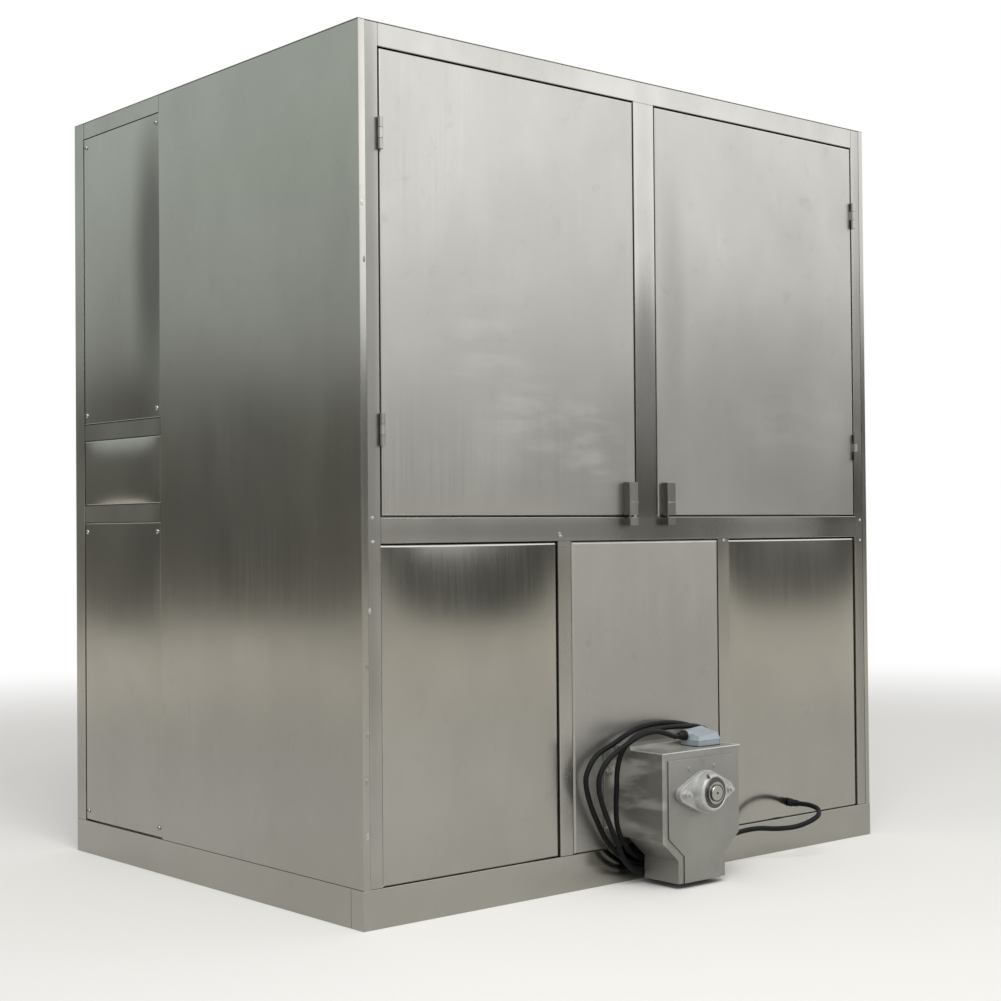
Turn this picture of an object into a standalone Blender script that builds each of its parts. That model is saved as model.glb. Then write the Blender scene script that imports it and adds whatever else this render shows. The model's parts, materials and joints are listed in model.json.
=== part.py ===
"""Industrial cube ice maker: a stainless cabinet with two doors and an auger outlet.

The frame is metres with +Z up. The origin is on the floor under the middle of the cabinet,
+X runs to the right along the front and +Y runs to the rear.
"""
import math

import bmesh
import bpy
from mathutils import Vector

# Cabinet
WIDTH = 1.775
DEPTH = 1.332
HEIGHT = 2.000
SEAT = 0.0003  # clearance between two pieces that touch

# Base of folded channel
BASE_HEIGHT = 0.088
BASE_FLANGE = 0.046
BASE_SHEET = 0.004

# Frames and skins
SKIN = 0.019  # thickness of the side and access panels
SHEET = 0.0015
ROOF_SHEET = 0.002
FLOOR_SHEET = 0.003
FRONT_FRAME = 0.050  # front to back
REAR_FRAME = 0.049
SIDE_FRAME = 0.030
POST_FACE = 0.035
MULLION = 0.072
TOP_RAIL = 0.055
MID_RAIL = 0.058
MID_RAIL_Z = 0.844
LOWER_MULLION = 0.042
LOWER_MULLION_X = 0.283
LIP = 0.012
LIP_DEPTH = 0.008
PANEL_GAP = 0.002
PANEL_CROWN = 0.006

# Access column on each side
COLUMN_FRONT = 0.206
COLUMN_OVERLAP = 0.015
ACCESS_UPPER = (1.169, 1.953)
ACCESS_MIDDLE = (0.948, 1.122)
ACCESS_LOWER = (0.092, 0.899)
STRIP_SETBACK = 0.002  # of the frame's strips behind the panels' faces
SCREW_HEAD = 0.006
SCREW_PROUD = 0.0025
SCREW_SIDE_INSET = 0.014
SCREW_END_INSET = 0.024
BULKHEAD = 0.040

# Doors, hinges and latches
DOOR_GAP = 0.0033
DOOR_THICK = 0.038
DOOR_RADIUS = 0.004
LINER_MARGIN = 0.050
LINER_DEPTH = 0.010
HINGE_RADIUS = 0.006
HINGE_PIN = 0.003
HINGE_HEIGHT = 0.072
HINGE_INSET = 0.190
HINGE_LEAF = 0.0012
HINGE_LEAF_DEPTH = 0.025
HINGE_SIDES = 12
LATCH_WIDTH = 0.023
LATCH_LENGTH = 0.082
LATCH_PLATE = 0.002
LATCH_INSET = 0.028
LATCH_BRACKET = 0.012
BOLT_RADIUS = 0.004
BOLT_THROW = 0.018
BOLT_CLEARANCE = 0.0006
KNOB_LENGTH = 0.016
KNOB_PROFILE = ((0, 0.003), (0.002, 0.005), (0.006, 0.005), (0.008, 0.003))

# Outlet box on the lower middle panel
OUTLET_X = 0.014
OUTLET_WIDTH = 0.272
OUTLET_REACH = 0.162
OUTLET_TOP = 0.332
OUTLET_SHEET = 0.003
SHOULDER_Z = 0.118
CHUTE_TOP_Z = 0.070
CHUTE_BOTTOM_Z = 0.014
CHUTE_WIDTH = 0.165
CHUTE_DEPTH = 0.115
OUTLET_FLANGE = 0.040
PLATE_INSET = 0.019
COVER_RISE = 0.009
COVER_LAP = 0.008

# Auger, its bearing and its drive
AUGER_Z = 0.231
SHAFT_RADIUS = 0.020
FLIGHT_RADIUS = 0.070
FLIGHT_PITCH = 0.120
FLIGHT_SHEET = 0.004
TROUGH_CLEARANCE = 0.006
TROUGH_SHEET = 0.003
BEARING_LENGTH = 0.188
BEARING_BOLTS = 0.148
BEARING_BOSS = 0.046
BEARING_FLANGE = 0.015
BEARING_DEPTH = 0.042
BEARING_SHOULDER = 0.006  # how far the flange's middle stands out round the boss
BEARING_TAPER = 0.004
BEARING_BOLT = ((0, 0.0130), (0.003, 0.0130), (0.0032, 0.0105), (0.013, 0.0105), (0.0132, 0.006),
                (0.020, 0.006))
PANEL_BOLT = ((0, 0.010), (0.006, 0.010), (0.0065, 0.005), (0.014, 0.005))
PLUG_RADIUS = 0.006
PLATE_HOLE = 0.032
COLLAR_RADIUS = 0.0270
COLLAR_LENGTH = 0.022
COLLAR_SETBACK = 0.004
SHAFT_CHAMFER = 0.002
GEARBOX_SIZE = 0.130
GEARBOX_DEPTH = 0.145
GEARBOX_EDGE = 0.010
MOTOR_RADIUS = 0.065
MOTOR_LENGTH = 0.230
MOTOR_FLANGE = 0.012
MOTOR_COWL = 0.050
MOTOR_STEP = 0.002
MOTOR_FINS = 12
FIN_RADIUS = 0.004
FIN_INSET = 0.025

# Ice-making compartment
TANK_SIDE_GAP = 0.0385  # between the tank and the side frame
TANK_END_GAP = 0.010
TANK_TOP = 0.300
TANK_SHEET = 0.004
SLIDE_SHEET = 0.004
SLIDE_END_GAP = 0.020
SLIDE_CLEARANCE = 0.010  # between the trough's rim and the slopes
STRAP_REACH = 0.030
SLIDE_RISE = 0.300
SLIDE_SLOTS = 6
SLOT_PLACES = (0.16, 0.44, 0.72)  # shares of the slope's length
SLOT_LENGTH = 0.18
SLOT_WIDTH = 0.4
EVAPORATORS = 4
EVAPORATOR_SIDE_GAP = 0.0585  # between the outer evaporators and the side frame
EVAPORATOR_GAP = 0.040
EVAPORATOR_HEIGHT = 0.620
EVAPORATOR_DEPTH = 0.046
EVAPORATOR_Y = -0.300
EVAPORATOR_DROP = 0.240  # from the cabinet's top
TAB_WIDTH = 0.030
TAB_LENGTH = 0.050
CELLS_ACROSS = 6
CELLS_UP = 10
CELL_WALL = 0.008
CELL_DEPTH = 0.020
RAIL_DEPTH = 0.040
RAIL_HEIGHT = 0.020
HEADER_RADIUS = 0.021
DRIP_RADIUS = 0.012
DRIP_OFFSET = 0.100
DRIP_GAP = 0.006
CLIP_WIDTH = 0.024
PIPE_RADIUS = 0.011
MANIFOLD_DROP = 0.200
MANIFOLD_OFFSET = 0.090
UNION_LENGTH = 0.008
PUMP_SIDE_GAP = 0.201
PUMP_BEHIND = 0.160  # from the header's middle
PUMP_BODY = ((0, 0.060), (0.020, 0.062), (0.060, 0.050), (0.130, 0.045), (0.145, 0.030))
PUMP_SPIGOT = 0.080
PUMP_SPIGOT_Z = 0.030

# Float valve on the tank's left-hand wall
FLOAT_REACH = 0.075
FLOAT_Y = -0.150
FLOAT_DROP = 0.045
VALVE_RADIUS = 0.014
VALVE_SETBACK = 0.020
CHEEK_GAP = 0.005
CHEEK_SIDE = 0.011
CHEEK_BACK = 0.028
CHEEK_FRONT = 0.008
CHEEK_HALF = 0.009
FLOAT_PIN = 0.0025
ARM_LENGTH = 0.140
ARM_HALF = 0.006
ARM_SIDE = 0.004
ARM_INTO_BALL = 0.002
BALL_RADIUS = 0.045
BALL_CAP = 15  # degrees left off each end of the float's profile

# Machine room
COMPRESSOR_SIDE_GAP = 0.2385
COMPRESSOR_RADIUS = 0.120
COMPRESSOR_HEIGHT = 0.440
COMPRESSOR_STAND = 0.028
COMPRESSOR_PLATE = 0.012
FOOT_RADIUS = 0.018
FOOT_HEIGHT = 0.020
TERMINAL_HALF = 0.045
TERMINAL_PROUD = 0.035
TERMINAL_EDGE = 0.004
CONDENSER_RADIUS = 0.085
CONDENSER_SIDE_GAP = 0.0585
CONDENSER_INNER_GAP = 0.101  # between the condenser and the gearbox
CONDENSER_STAND = 0.050
CONDENSER_HEAD = 0.022
HEAD_FLANGE = 0.012
SADDLE_HALF = 0.020
MACHINE_BACK_GAP = 0.187  # from the rear frame to the middle of the compressor
ELECTRIC_SIDE_GAP = 0.1485
ELECTRIC_WIDTH = 0.420
ELECTRIC_HEIGHT = 0.560
ELECTRIC_DEPTH = 0.180
ELECTRIC_DROP = 0.600  # from the cabinet's top to the box's middle
ELECTRIC_COVER = 0.012
COVER_LIP = 0.004
COVER_EDGE = 0.003
LINE_BEND = 0.060
LIQUID_DROP = 0.080  # from the electric box to the liquid line

# Switch box on the outlet box, and the cable that leaves it
SWITCH_X = 0.080
SWITCH_Y = -0.765
SWITCH_WIDTH = 0.078
SWITCH_DEPTH = 0.064
SWITCH_LOW = 0.014
SWITCH_HIGH = 0.042
SWITCH_DROP = 0.012
SWITCH_SLOPE = 0.008
SWITCH_RADIUS = 0.005
CABLE_RADIUS = 0.0065
CABLE_SPACING = 7  # from point to point, in radii
GLAND_X = 0.537
GLAND_Z = 0.128
GLAND_RADIUS = 0.011
GLAND_LENGTH = 0.030
GLAND_HEX = 0.008

HALF_WIDTH = WIDTH / 2
FRONT_Y = -DEPTH / 2
REAR_Y = DEPTH / 2
FRAME_X = HALF_WIDTH - SKIN
WINDOW_X = FRAME_X - POST_FACE
FRAME_BOTTOM = BASE_HEIGHT + SEAT
FRAME_TOP = HEIGHT - ROOF_SHEET - SEAT
FRAME_BACK = FRONT_Y + FRONT_FRAME
REAR_FRAME_Y = REAR_Y - REAR_FRAME
MACHINE_Y = REAR_FRAME_Y - MACHINE_BACK_GAP
LIP_Y = FRAME_BACK - LIP_DEPTH
INNER_X = FRAME_X - SIDE_FRAME
DOOR_BOTTOM = MID_RAIL_Z + MID_RAIL + DOOR_GAP
DOOR_TOP = HEIGHT - TOP_RAIL - DOOR_GAP
FLOOR_TOP = FRAME_BOTTOM + FLOOR_SHEET
PLATE_Y = FRONT_Y - OUTLET_REACH
HINGE_Y = FRONT_Y - HINGE_RADIUS - SEAT
HINGE_X = WINDOW_X - DOOR_GAP / 2
BULKHEAD_Y = COLUMN_FRONT - BULKHEAD / 2
BULKHEAD_BACK = BULKHEAD_Y + BULKHEAD
TROUGH_RADIUS = FLIGHT_RADIUS + TROUGH_CLEARANCE
TROUGH_OUTSIDE = TROUGH_RADIUS + TROUGH_SHEET
TROUGH_TOP = AUGER_Z + TROUGH_OUTSIDE
TROUGH_BACK = BULKHEAD_BACK + TROUGH_SHEET
BEARING_FRONT = PLATE_Y - OUTLET_SHEET - SEAT - BEARING_DEPTH
GEARBOX_Y = TROUGH_BACK + SEAT
BEARING_BORE = COLLAR_RADIUS + SEAT
GEARBOX_BORE = SHAFT_RADIUS + SEAT
TANK_HALF_WIDTH = INNER_X - TANK_SIDE_GAP
EVAPORATOR_ROW = 2 * (INNER_X - EVAPORATOR_SIDE_GAP)
EVAPORATOR_WIDTH = (EVAPORATOR_ROW - (EVAPORATORS - 1) * EVAPORATOR_GAP) / EVAPORATORS
EVAPORATOR_PITCH = EVAPORATOR_WIDTH + EVAPORATOR_GAP
EVAPORATOR_TOP = HEIGHT - EVAPORATOR_DROP
COMPRESSOR_X = COMPRESSOR_RADIUS + COMPRESSOR_SIDE_GAP - INNER_X
CONDENSER_LOW_X = OUTLET_X + GEARBOX_SIZE / 2 + CONDENSER_INNER_GAP
CONDENSER_LENGTH = INNER_X - CONDENSER_SIDE_GAP - CONDENSER_LOW_X
ELECTRIC_X = INNER_X - ELECTRIC_SIDE_GAP - ELECTRIC_WIDTH / 2
ELECTRIC_Z = HEIGHT - ELECTRIC_DROP
PAST = 0.01  # how far a cut runs past a face


# Simple closed shapes
def block(low, high, radius=0.0, chosen=None, steps=2):
    """A box between two corners, with some or all of its edges rounded."""
    low, high = Vector(low), Vector(high)
    shape = bmesh.new()
    bmesh.ops.create_cube(shape, size=1.0)
    for vertex in shape.verts:
        for axis in range(3):
            vertex.co[axis] = low[axis] if vertex.co[axis] < 0 else high[axis]
    if radius:
        edges = [edge for edge in shape.edges if chosen is None or chosen(edge)]
        bmesh.ops.bevel(shape, geom=edges, offset=radius, segments=steps, profile=0.5, affect="EDGES")
    return shape


def on_plane(axis, value):
    """Picks the edges that lie in a plane across an axis."""
    return lambda edge: all(abs(vertex.co[axis] - value) < 1e-6 for vertex in edge.verts)


def turned(profile, start, direction, sides=24):
    """A solid of revolution: profile holds (distance along, radius) from one end to the other."""
    direction = Vector(direction).normalized()
    across = direction.orthogonal().normalized()
    other = direction.cross(across)
    shape = bmesh.new()
    rings = []
    for distance, radius in profile:
        ring = []
        for step in range(sides):
            angle = math.tau * step / sides
            offset = across * math.cos(angle) + other * math.sin(angle)
            ring.append(shape.verts.new(Vector(start) + direction * distance + offset * radius))
        rings.append(ring)
    for ring, following in zip(rings, rings[1:]):
        for step in range(sides):
            after = (step + 1) % sides
            shape.faces.new((ring[step], ring[after], following[after], following[step]))
    shape.faces.new(list(reversed(rings[0])))
    shape.faces.new(rings[-1])
    return shape


def rod(start, end, radius, sides=16):
    start, end = Vector(start), Vector(end)
    return turned([(0, radius), ((end - start).length, radius)], start, end - start, sides)


def extruded(outline, axis, low, high):
    """A prism: the outline's two numbers run along the other two axes, in their order."""
    shape = bmesh.new()
    ends = []
    for level in (low, high):
        ring = []
        for pair in outline:
            place = list(pair)
            place.insert("XYZ".index(axis), level)
            ring.append(shape.verts.new(place))
        ends.append(ring)
    count = len(outline)
    for step in range(count):
        after = (step + 1) % count
        shape.faces.new((ends[0][step], ends[0][after], ends[1][after], ends[1][step]))
    shape.faces.new(list(reversed(ends[0])))
    shape.faces.new(ends[1])
    return shape


def arc(centre, radius, start, end, steps):
    """Points on an arc, with its angles in degrees."""
    points = []
    for step in range(steps + 1):
        angle = math.radians(start + (end - start) * step / steps)
        points.append((centre[0] + radius * math.cos(angle), centre[1] + radius * math.sin(angle)))
    return points


# Pieces
def material(name, colour, roughness, metallic):
    finish = bpy.data.materials.new(name)
    finish.use_nodes = True
    shader = finish.node_tree.nodes["Principled BSDF"]
    shader.inputs["Base Color"].default_value = (*colour, 1.0)
    shader.inputs["Roughness"].default_value = roughness
    shader.inputs["Metallic"].default_value = metallic
    finish.diffuse_color = (*colour, 1.0)
    return finish


def placed(shape, name):
    bmesh.ops.recalc_face_normals(shape, faces=shape.faces)
    mesh = bpy.data.meshes.new(name)
    shape.to_mesh(mesh)
    shape.free()
    item = bpy.data.objects.new(name, mesh)
    bpy.context.scene.collection.objects.link(item)
    return item


def add(shape):
    return "UNION", shape


def cut(shape):
    return "DIFFERENCE", shape


def piece(name, finish, shape, steps=(), origin=(0, 0, 0)):
    """One named object: a shape with others added and cut in turn, and its origin on its joint."""
    item = placed(shape, name)
    helpers = []
    for operation, other in steps:
        helper = placed(other, name + "_tool")
        modifier = item.modifiers.new(operation.lower(), "BOOLEAN")
        modifier.operation = operation
        modifier.solver = "EXACT"
        modifier.object = helper
        helpers.append(helper)
    if helpers:
        bpy.context.view_layer.update()
        graph = bpy.context.evaluated_depsgraph_get()
        rough = item.data
        item.data = bpy.data.meshes.new_from_object(item.evaluated_get(graph))
        item.modifiers.clear()
        bpy.data.meshes.remove(rough)
        item.data.name = name
    for helper in helpers:
        mesh = helper.data
        bpy.data.objects.remove(helper)
        bpy.data.meshes.remove(mesh)
    for vertex in item.data.vertices:
        vertex.co -= Vector(origin)
    item.location = origin
    item.data.shade_smooth()
    item.data.set_sharp_from_angle(angle=math.radians(32))
    item.data.materials.clear()
    item.data.materials.append(finish)
    return item


def tray(low, high, sheet, back, radius=0.0, steps=2):
    """A folded cover: a shell open towards its back, which is an axis number and a side."""
    axis, side = back
    front = low[axis] if side > 0 else high[axis]
    inner_low = [value + sheet for value in low]
    inner_high = [value - sheet for value in high]
    if side > 0:
        inner_high[axis] = high[axis] + PAST
    else:
        inner_low[axis] = low[axis] - PAST
    inner_front = inner_low[axis] if side > 0 else inner_high[axis]
    outside = block(low, high, radius, on_plane(axis, front), steps)
    inner_radius = max(radius - sheet, 0)
    return outside, [cut(block(inner_low, inner_high, inner_radius, on_plane(axis, inner_front), steps))]


# Base and frames
def make_base(steel):
    front, rear, side = FRONT_Y, REAR_Y, HALF_WIDTH
    flange, sheet, top = BASE_FLANGE, BASE_SHEET, BASE_HEIGHT
    outer = block((-side, front, 0), (side, rear, top))
    inner = block((sheet - side, front + sheet, sheet), (side - sheet, rear - sheet, top - sheet))
    window = block((flange - side, front + flange, -PAST), (side - flange, rear - flange, top + PAST))
    half = flange / 2
    member = [(-half, 0), (half, 0), (half, sheet), (sheet - half, sheet),
              (sheet - half, top - sheet), (half, top - sheet), (half, top), (-half, top)]
    beam = extruded(member, "Y", front + flange / 2, rear - flange / 2)
    # The beams are folded channels, so the space inside them opens to the middle.
    piece("base_frame", steel, outer, [cut(window), cut(inner), add(beam)])


def window_cuts(low_x, high_x, low_z, high_z, front, lip_y, back, lip, open_below=False):
    """A window in a frame that lies across Y, with a lip round its back edge."""
    below = PAST if open_below else 0
    wide = block((low_x, front - PAST, low_z - below), (high_x, lip_y, high_z))
    narrow = block((low_x + lip, lip_y - PAST, low_z + lip), (high_x - lip, back + PAST, high_z - lip))
    return [cut(wide), cut(narrow)]


def lower_windows():
    edge = LOWER_MULLION_X - LOWER_MULLION / 2
    return {"left": (-WINDOW_X, -edge - LOWER_MULLION), "middle": (-edge, edge),
            "right": (edge + LOWER_MULLION, WINDOW_X)}


def make_front_frame(steel):
    frame = block((-FRAME_X, FRONT_Y, FRAME_BOTTOM), (FRAME_X, FRAME_BACK, FRAME_TOP))
    steps = []
    door_low, door_high = DOOR_BOTTOM - DOOR_GAP, DOOR_TOP + DOOR_GAP
    for low_x, high_x in ((-WINDOW_X, -MULLION / 2), (MULLION / 2, WINDOW_X)):
        steps += window_cuts(low_x, high_x, door_low, door_high, FRONT_Y, LIP_Y, FRAME_BACK, LIP)
    for low_x, high_x in lower_windows().values():
        steps += window_cuts(low_x, high_x, FRAME_BOTTOM, MID_RAIL_Z, FRONT_Y, LIP_Y, FRAME_BACK, LIP, True)
    piece("front_frame", steel, frame, steps)


def make_keeper(word, side, steel):
    """A fork-shaped keeper on the middle rail, open towards the front, for a latch bolt."""
    x = side * (MULLION / 2 + DOOR_GAP + LATCH_INSET)
    room = BOLT_RADIUS + 2 * BOLT_CLEARANCE
    top = MID_RAIL_Z + MID_RAIL - DOOR_GAP
    front = latch_bolt_y() - BOLT_RADIUS
    half = LATCH_WIDTH / 2
    fork = block((x - half, front, top - BOLT_THROW), (x + half, FRONT_Y - SEAT, top), SHEET / 2,
                 on_plane(1, front), 1)
    slot = block((x - room, front - PAST, top - BOLT_THROW - PAST),
                 (x + room, FRONT_Y - LATCH_PLATE, top + PAST))
    piece(f"{word}_latch_keeper", steel, fork, [cut(slot)])


def make_rear_frame(steel):
    frame = block((-HALF_WIDTH, REAR_FRAME_Y, FRAME_BOTTOM), (HALF_WIDTH, REAR_Y, FRAME_TOP))
    edge = HALF_WIDTH - TOP_RAIL
    low, high = FRAME_BOTTOM + TOP_RAIL, HEIGHT - TOP_RAIL
    wide = block((-edge, REAR_Y - SKIN, low), (edge, REAR_Y + PAST, high))
    lip = LIP * 2
    narrow = block((lip - edge, REAR_FRAME_Y - PAST, low + lip), (edge - lip, REAR_Y, high - lip))
    piece("rear_frame", steel, frame, [cut(wide), cut(narrow)])


def make_side_frame(name, side, steel):
    """A flat frame behind the side and access panels, from the front frame to the rear one."""
    inner, outer = sorted((side * INNER_X, side * FRAME_X))
    front, rear = FRAME_BACK + SEAT, REAR_FRAME_Y - SEAT
    frame = block((inner, front, FRAME_BOTTOM), (outer, rear, FRAME_TOP))
    post_half = SIDE_FRAME
    windows = [(front + SIDE_FRAME, COLUMN_FRONT - post_half, FRAME_BOTTOM + SIDE_FRAME, HEIGHT - TOP_RAIL)]
    for low, high in (ACCESS_UPPER, ACCESS_MIDDLE, ACCESS_LOWER):
        low_z = max(low, FRAME_BOTTOM) + COLUMN_OVERLAP
        windows.append((COLUMN_FRONT + post_half, rear - COLUMN_OVERLAP, low_z, high - COLUMN_OVERLAP))
    # A strip stands out between the access panels and above them, nearly flush with their faces.
    strip_in, strip_out = sorted((side * (FRAME_X - SHEET), side * (HALF_WIDTH - STRIP_SETBACK)))
    steps = []
    for below, above in ((ACCESS_LOWER[1], ACCESS_MIDDLE[0]), (ACCESS_MIDDLE[1], ACCESS_UPPER[0]),
                         (ACCESS_UPPER[1], FRAME_TOP + PANEL_GAP)):
        strip_low = (strip_in, COLUMN_FRONT + PANEL_GAP / 2, below + PANEL_GAP)
        steps.append(add(block(strip_low, (strip_out, rear, above - PANEL_GAP))))
    for low_y, high_y, low_z, high_z in windows:
        steps.append(cut(block((inner - PAST, low_y, low_z), (outer + PAST, high_y, high_z))))
    piece(name, steel, frame, steps)


# Skins
def make_side_panel(name, side, steel):
    inner, outer = sorted((side * (FRAME_X + SEAT), side * HALF_WIDTH))
    low, high = (inner, FRONT_Y, FRAME_BOTTOM), (outer, COLUMN_FRONT - PANEL_GAP / 2, FRAME_TOP)
    face = side * HALF_WIDTH
    piece(name, steel, block(low, high, SHEET, on_plane(0, face)))


def make_access_panel(name, side, levels, screws, steel):
    inner, outer = sorted((side * (FRAME_X + SEAT), side * HALF_WIDTH))
    low_y, high_y = COLUMN_FRONT + PANEL_GAP / 2, REAR_FRAME_Y - PANEL_GAP
    low_z, high_z = max(levels[0], FRAME_BOTTOM), levels[1]
    back = (0, -side)
    shape, steps = tray((inner, low_y, low_z), (outer, high_y, high_z), SHEET, back, SHEET, 1)
    face = side * (HALF_WIDTH - SHEET / 2)
    head = side * (SHEET / 2 + SCREW_PROUD)
    if screws:
        for y in (low_y + SCREW_SIDE_INSET, high_y - SCREW_SIDE_INSET):
            for z in (low_z + SCREW_END_INSET, high_z - SCREW_END_INSET):
                profile = [(0, SCREW_HEAD), (abs(head) * 0.5, SCREW_HEAD), (abs(head), SCREW_HEAD * 0.5)]
                steps.append(add(turned(profile, (face, y, z), (side, 0, 0), 10)))
    piece(name, steel, shape, steps)


def make_panels(steel, matte):
    make_side_panel("left_side_panel", -1, steel)
    make_side_panel("right_side_panel", 1, steel)
    for word, side in (("left", -1), ("right", 1)):
        make_access_panel(f"{word}_upper_access_panel", side, ACCESS_UPPER, True, steel)
        make_access_panel(f"{word}_middle_access_panel", side, ACCESS_MIDDLE, False, steel)
        make_access_panel(f"{word}_lower_access_panel", side, ACCESS_LOWER, True, steel)
    edge = HALF_WIDTH - TOP_RAIL - PANEL_GAP
    low = (-edge, REAR_Y - SKIN + SEAT, FRAME_BOTTOM + TOP_RAIL + PANEL_GAP)
    high = (edge, REAR_Y, HEIGHT - TOP_RAIL - PANEL_GAP)
    shape, steps = tray(low, high, SHEET, (1, -1), SHEET, 1)
    piece("rear_panel", steel, shape, steps)
    roof = block((-HALF_WIDTH, FRONT_Y, HEIGHT - ROOF_SHEET), (HALF_WIDTH, REAR_Y, HEIGHT))
    piece("roof_panel", steel, roof)
    for word, (low_x, high_x) in lower_windows().items():
        low = (low_x + PANEL_GAP, FRONT_Y, FRAME_BOTTOM)
        high = (high_x - PANEL_GAP, LIP_Y - SEAT, MID_RAIL_Z - PANEL_GAP)
        shape, steps = tray(low, high, SHEET, (1, 1), PANEL_CROWN, 3)
        if word == "middle":
            reach = TROUGH_OUTSIDE + PANEL_GAP
            low = (OUTLET_X - reach, FRONT_Y - PAST, AUGER_Z - reach)
            high = (OUTLET_X + reach, FRONT_Y + PAST, TROUGH_TOP + PANEL_GAP)
            steps.append(cut(block(low, high)))
        piece(f"lower_{word}_panel", matte if word == "middle" else steel, shape, steps)


def make_floor_and_bulkhead(steel, liner):
    reach = INNER_X - SEAT
    low = (-reach, FRAME_BACK + SEAT, FRAME_BOTTOM)
    piece("floor_pan", steel, block(low, (reach, REAR_FRAME_Y - SEAT, FLOOR_TOP)))
    wall = block((-reach, BULKHEAD_Y, FLOOR_TOP + SEAT), (reach, BULKHEAD_BACK, FRAME_TOP))
    room = TROUGH_OUTSIDE + SEAT
    notch_low = (OUTLET_X - room, BULKHEAD_Y - PAST, FLOOR_TOP - PAST)
    notch_high = (OUTLET_X + room, BULKHEAD_BACK + PAST, TROUGH_TOP + SEAT)
    piece("bulkhead", liner, wall, [cut(block(notch_low, notch_high))])


# Doors
def door_edges(side):
    """The hinge edge and the free edge of a door."""
    return side * (WINDOW_X - DOOR_GAP), side * (MULLION / 2 + DOOR_GAP)


def hinge_levels():
    return DOOR_BOTTOM + HINGE_INSET, DOOR_TOP - HINGE_INSET


def make_door(word, side, steel):
    hinged, free = door_edges(side)
    low_x, high_x = sorted((hinged, free))
    back = FRONT_Y + DOOR_THICK
    door = block((low_x, FRONT_Y, DOOR_BOTTOM), (high_x, back, DOOR_TOP), DOOR_RADIUS, on_plane(1, FRONT_Y))
    margin = LINER_MARGIN
    dish_low = (low_x + margin, back - LINER_DEPTH, DOOR_BOTTOM + margin)
    dish = block(dish_low, (high_x - margin, back + PAST, DOOR_TOP - margin))
    steps = [cut(dish)]
    axis_x = side * HINGE_X
    third = HINGE_HEIGHT / 3
    for level in hinge_levels():
        # The middle knuckle stands on a web that reaches from the door's edge.
        low, high = level - third / 2, level + third / 2
        web_low, web_high = sorted((axis_x - side * SEAT, hinged - side * DOOR_RADIUS))
        steps.append(add(block((web_low, HINGE_Y, low), (web_high, FRONT_Y + DOOR_RADIUS * 2, high))))
        steps.append(add(rod((axis_x, HINGE_Y, low), (axis_x, HINGE_Y, high), HINGE_RADIUS, HINGE_SIDES)))
        bore = HINGE_PIN + BOLT_CLEARANCE
        room = rod((axis_x, HINGE_Y, low - PAST), (axis_x, HINGE_Y, high + PAST), bore, HINGE_SIDES)
        steps.append(cut(room))
    middle = (DOOR_BOTTOM + DOOR_TOP) / 2
    piece(f"{word}_door", steel, door, steps, (axis_x, HINGE_Y, middle))


def make_hinge_leaves(word, side, steel):
    """The frame's half of each hinge: a leaf in the gap, two knuckles and the pin."""
    axis_x = side * HINGE_X
    third = HINGE_HEIGHT / 3
    for place, level in zip(("lower", "upper"), hinge_levels()):
        low, high = level - HINGE_HEIGHT / 2, level + HINGE_HEIGHT / 2
        near = side * (WINDOW_X - SEAT)
        leaf_low, leaf_high = sorted((near, near - side * HINGE_LEAF))
        leaf = block((leaf_low, HINGE_Y, low), (leaf_high, FRONT_Y + HINGE_LEAF_DEPTH, high))
        notch_room = third / 2 + SEAT
        notch_low, notch_high = sorted((near + side * PAST, near - side * PAST))
        notch = block((notch_low, HINGE_Y - PAST, level - notch_room),
                      (notch_high, FRONT_Y + DOOR_RADIUS * 2 + SEAT, level + notch_room))
        steps = [cut(notch)]
        for knuckle_low, knuckle_high in ((low, level - notch_room), (level + notch_room, high)):
            start, end = (axis_x, HINGE_Y, knuckle_low), (axis_x, HINGE_Y, knuckle_high)
            steps.append(add(rod(start, end, HINGE_RADIUS, HINGE_SIDES)))
        pin_low, pin_high = (axis_x, HINGE_Y, low + HINGE_LEAF), (axis_x, HINGE_Y, high - HINGE_LEAF)
        steps.append(add(rod(pin_low, pin_high, HINGE_PIN, HINGE_SIDES)))
        piece(f"{word}_{place}_hinge", steel, leaf, steps)


def latch_bolt_y():
    return FRONT_Y - SEAT - LATCH_PLATE - BOLT_CLEARANCE - BOLT_RADIUS


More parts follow.
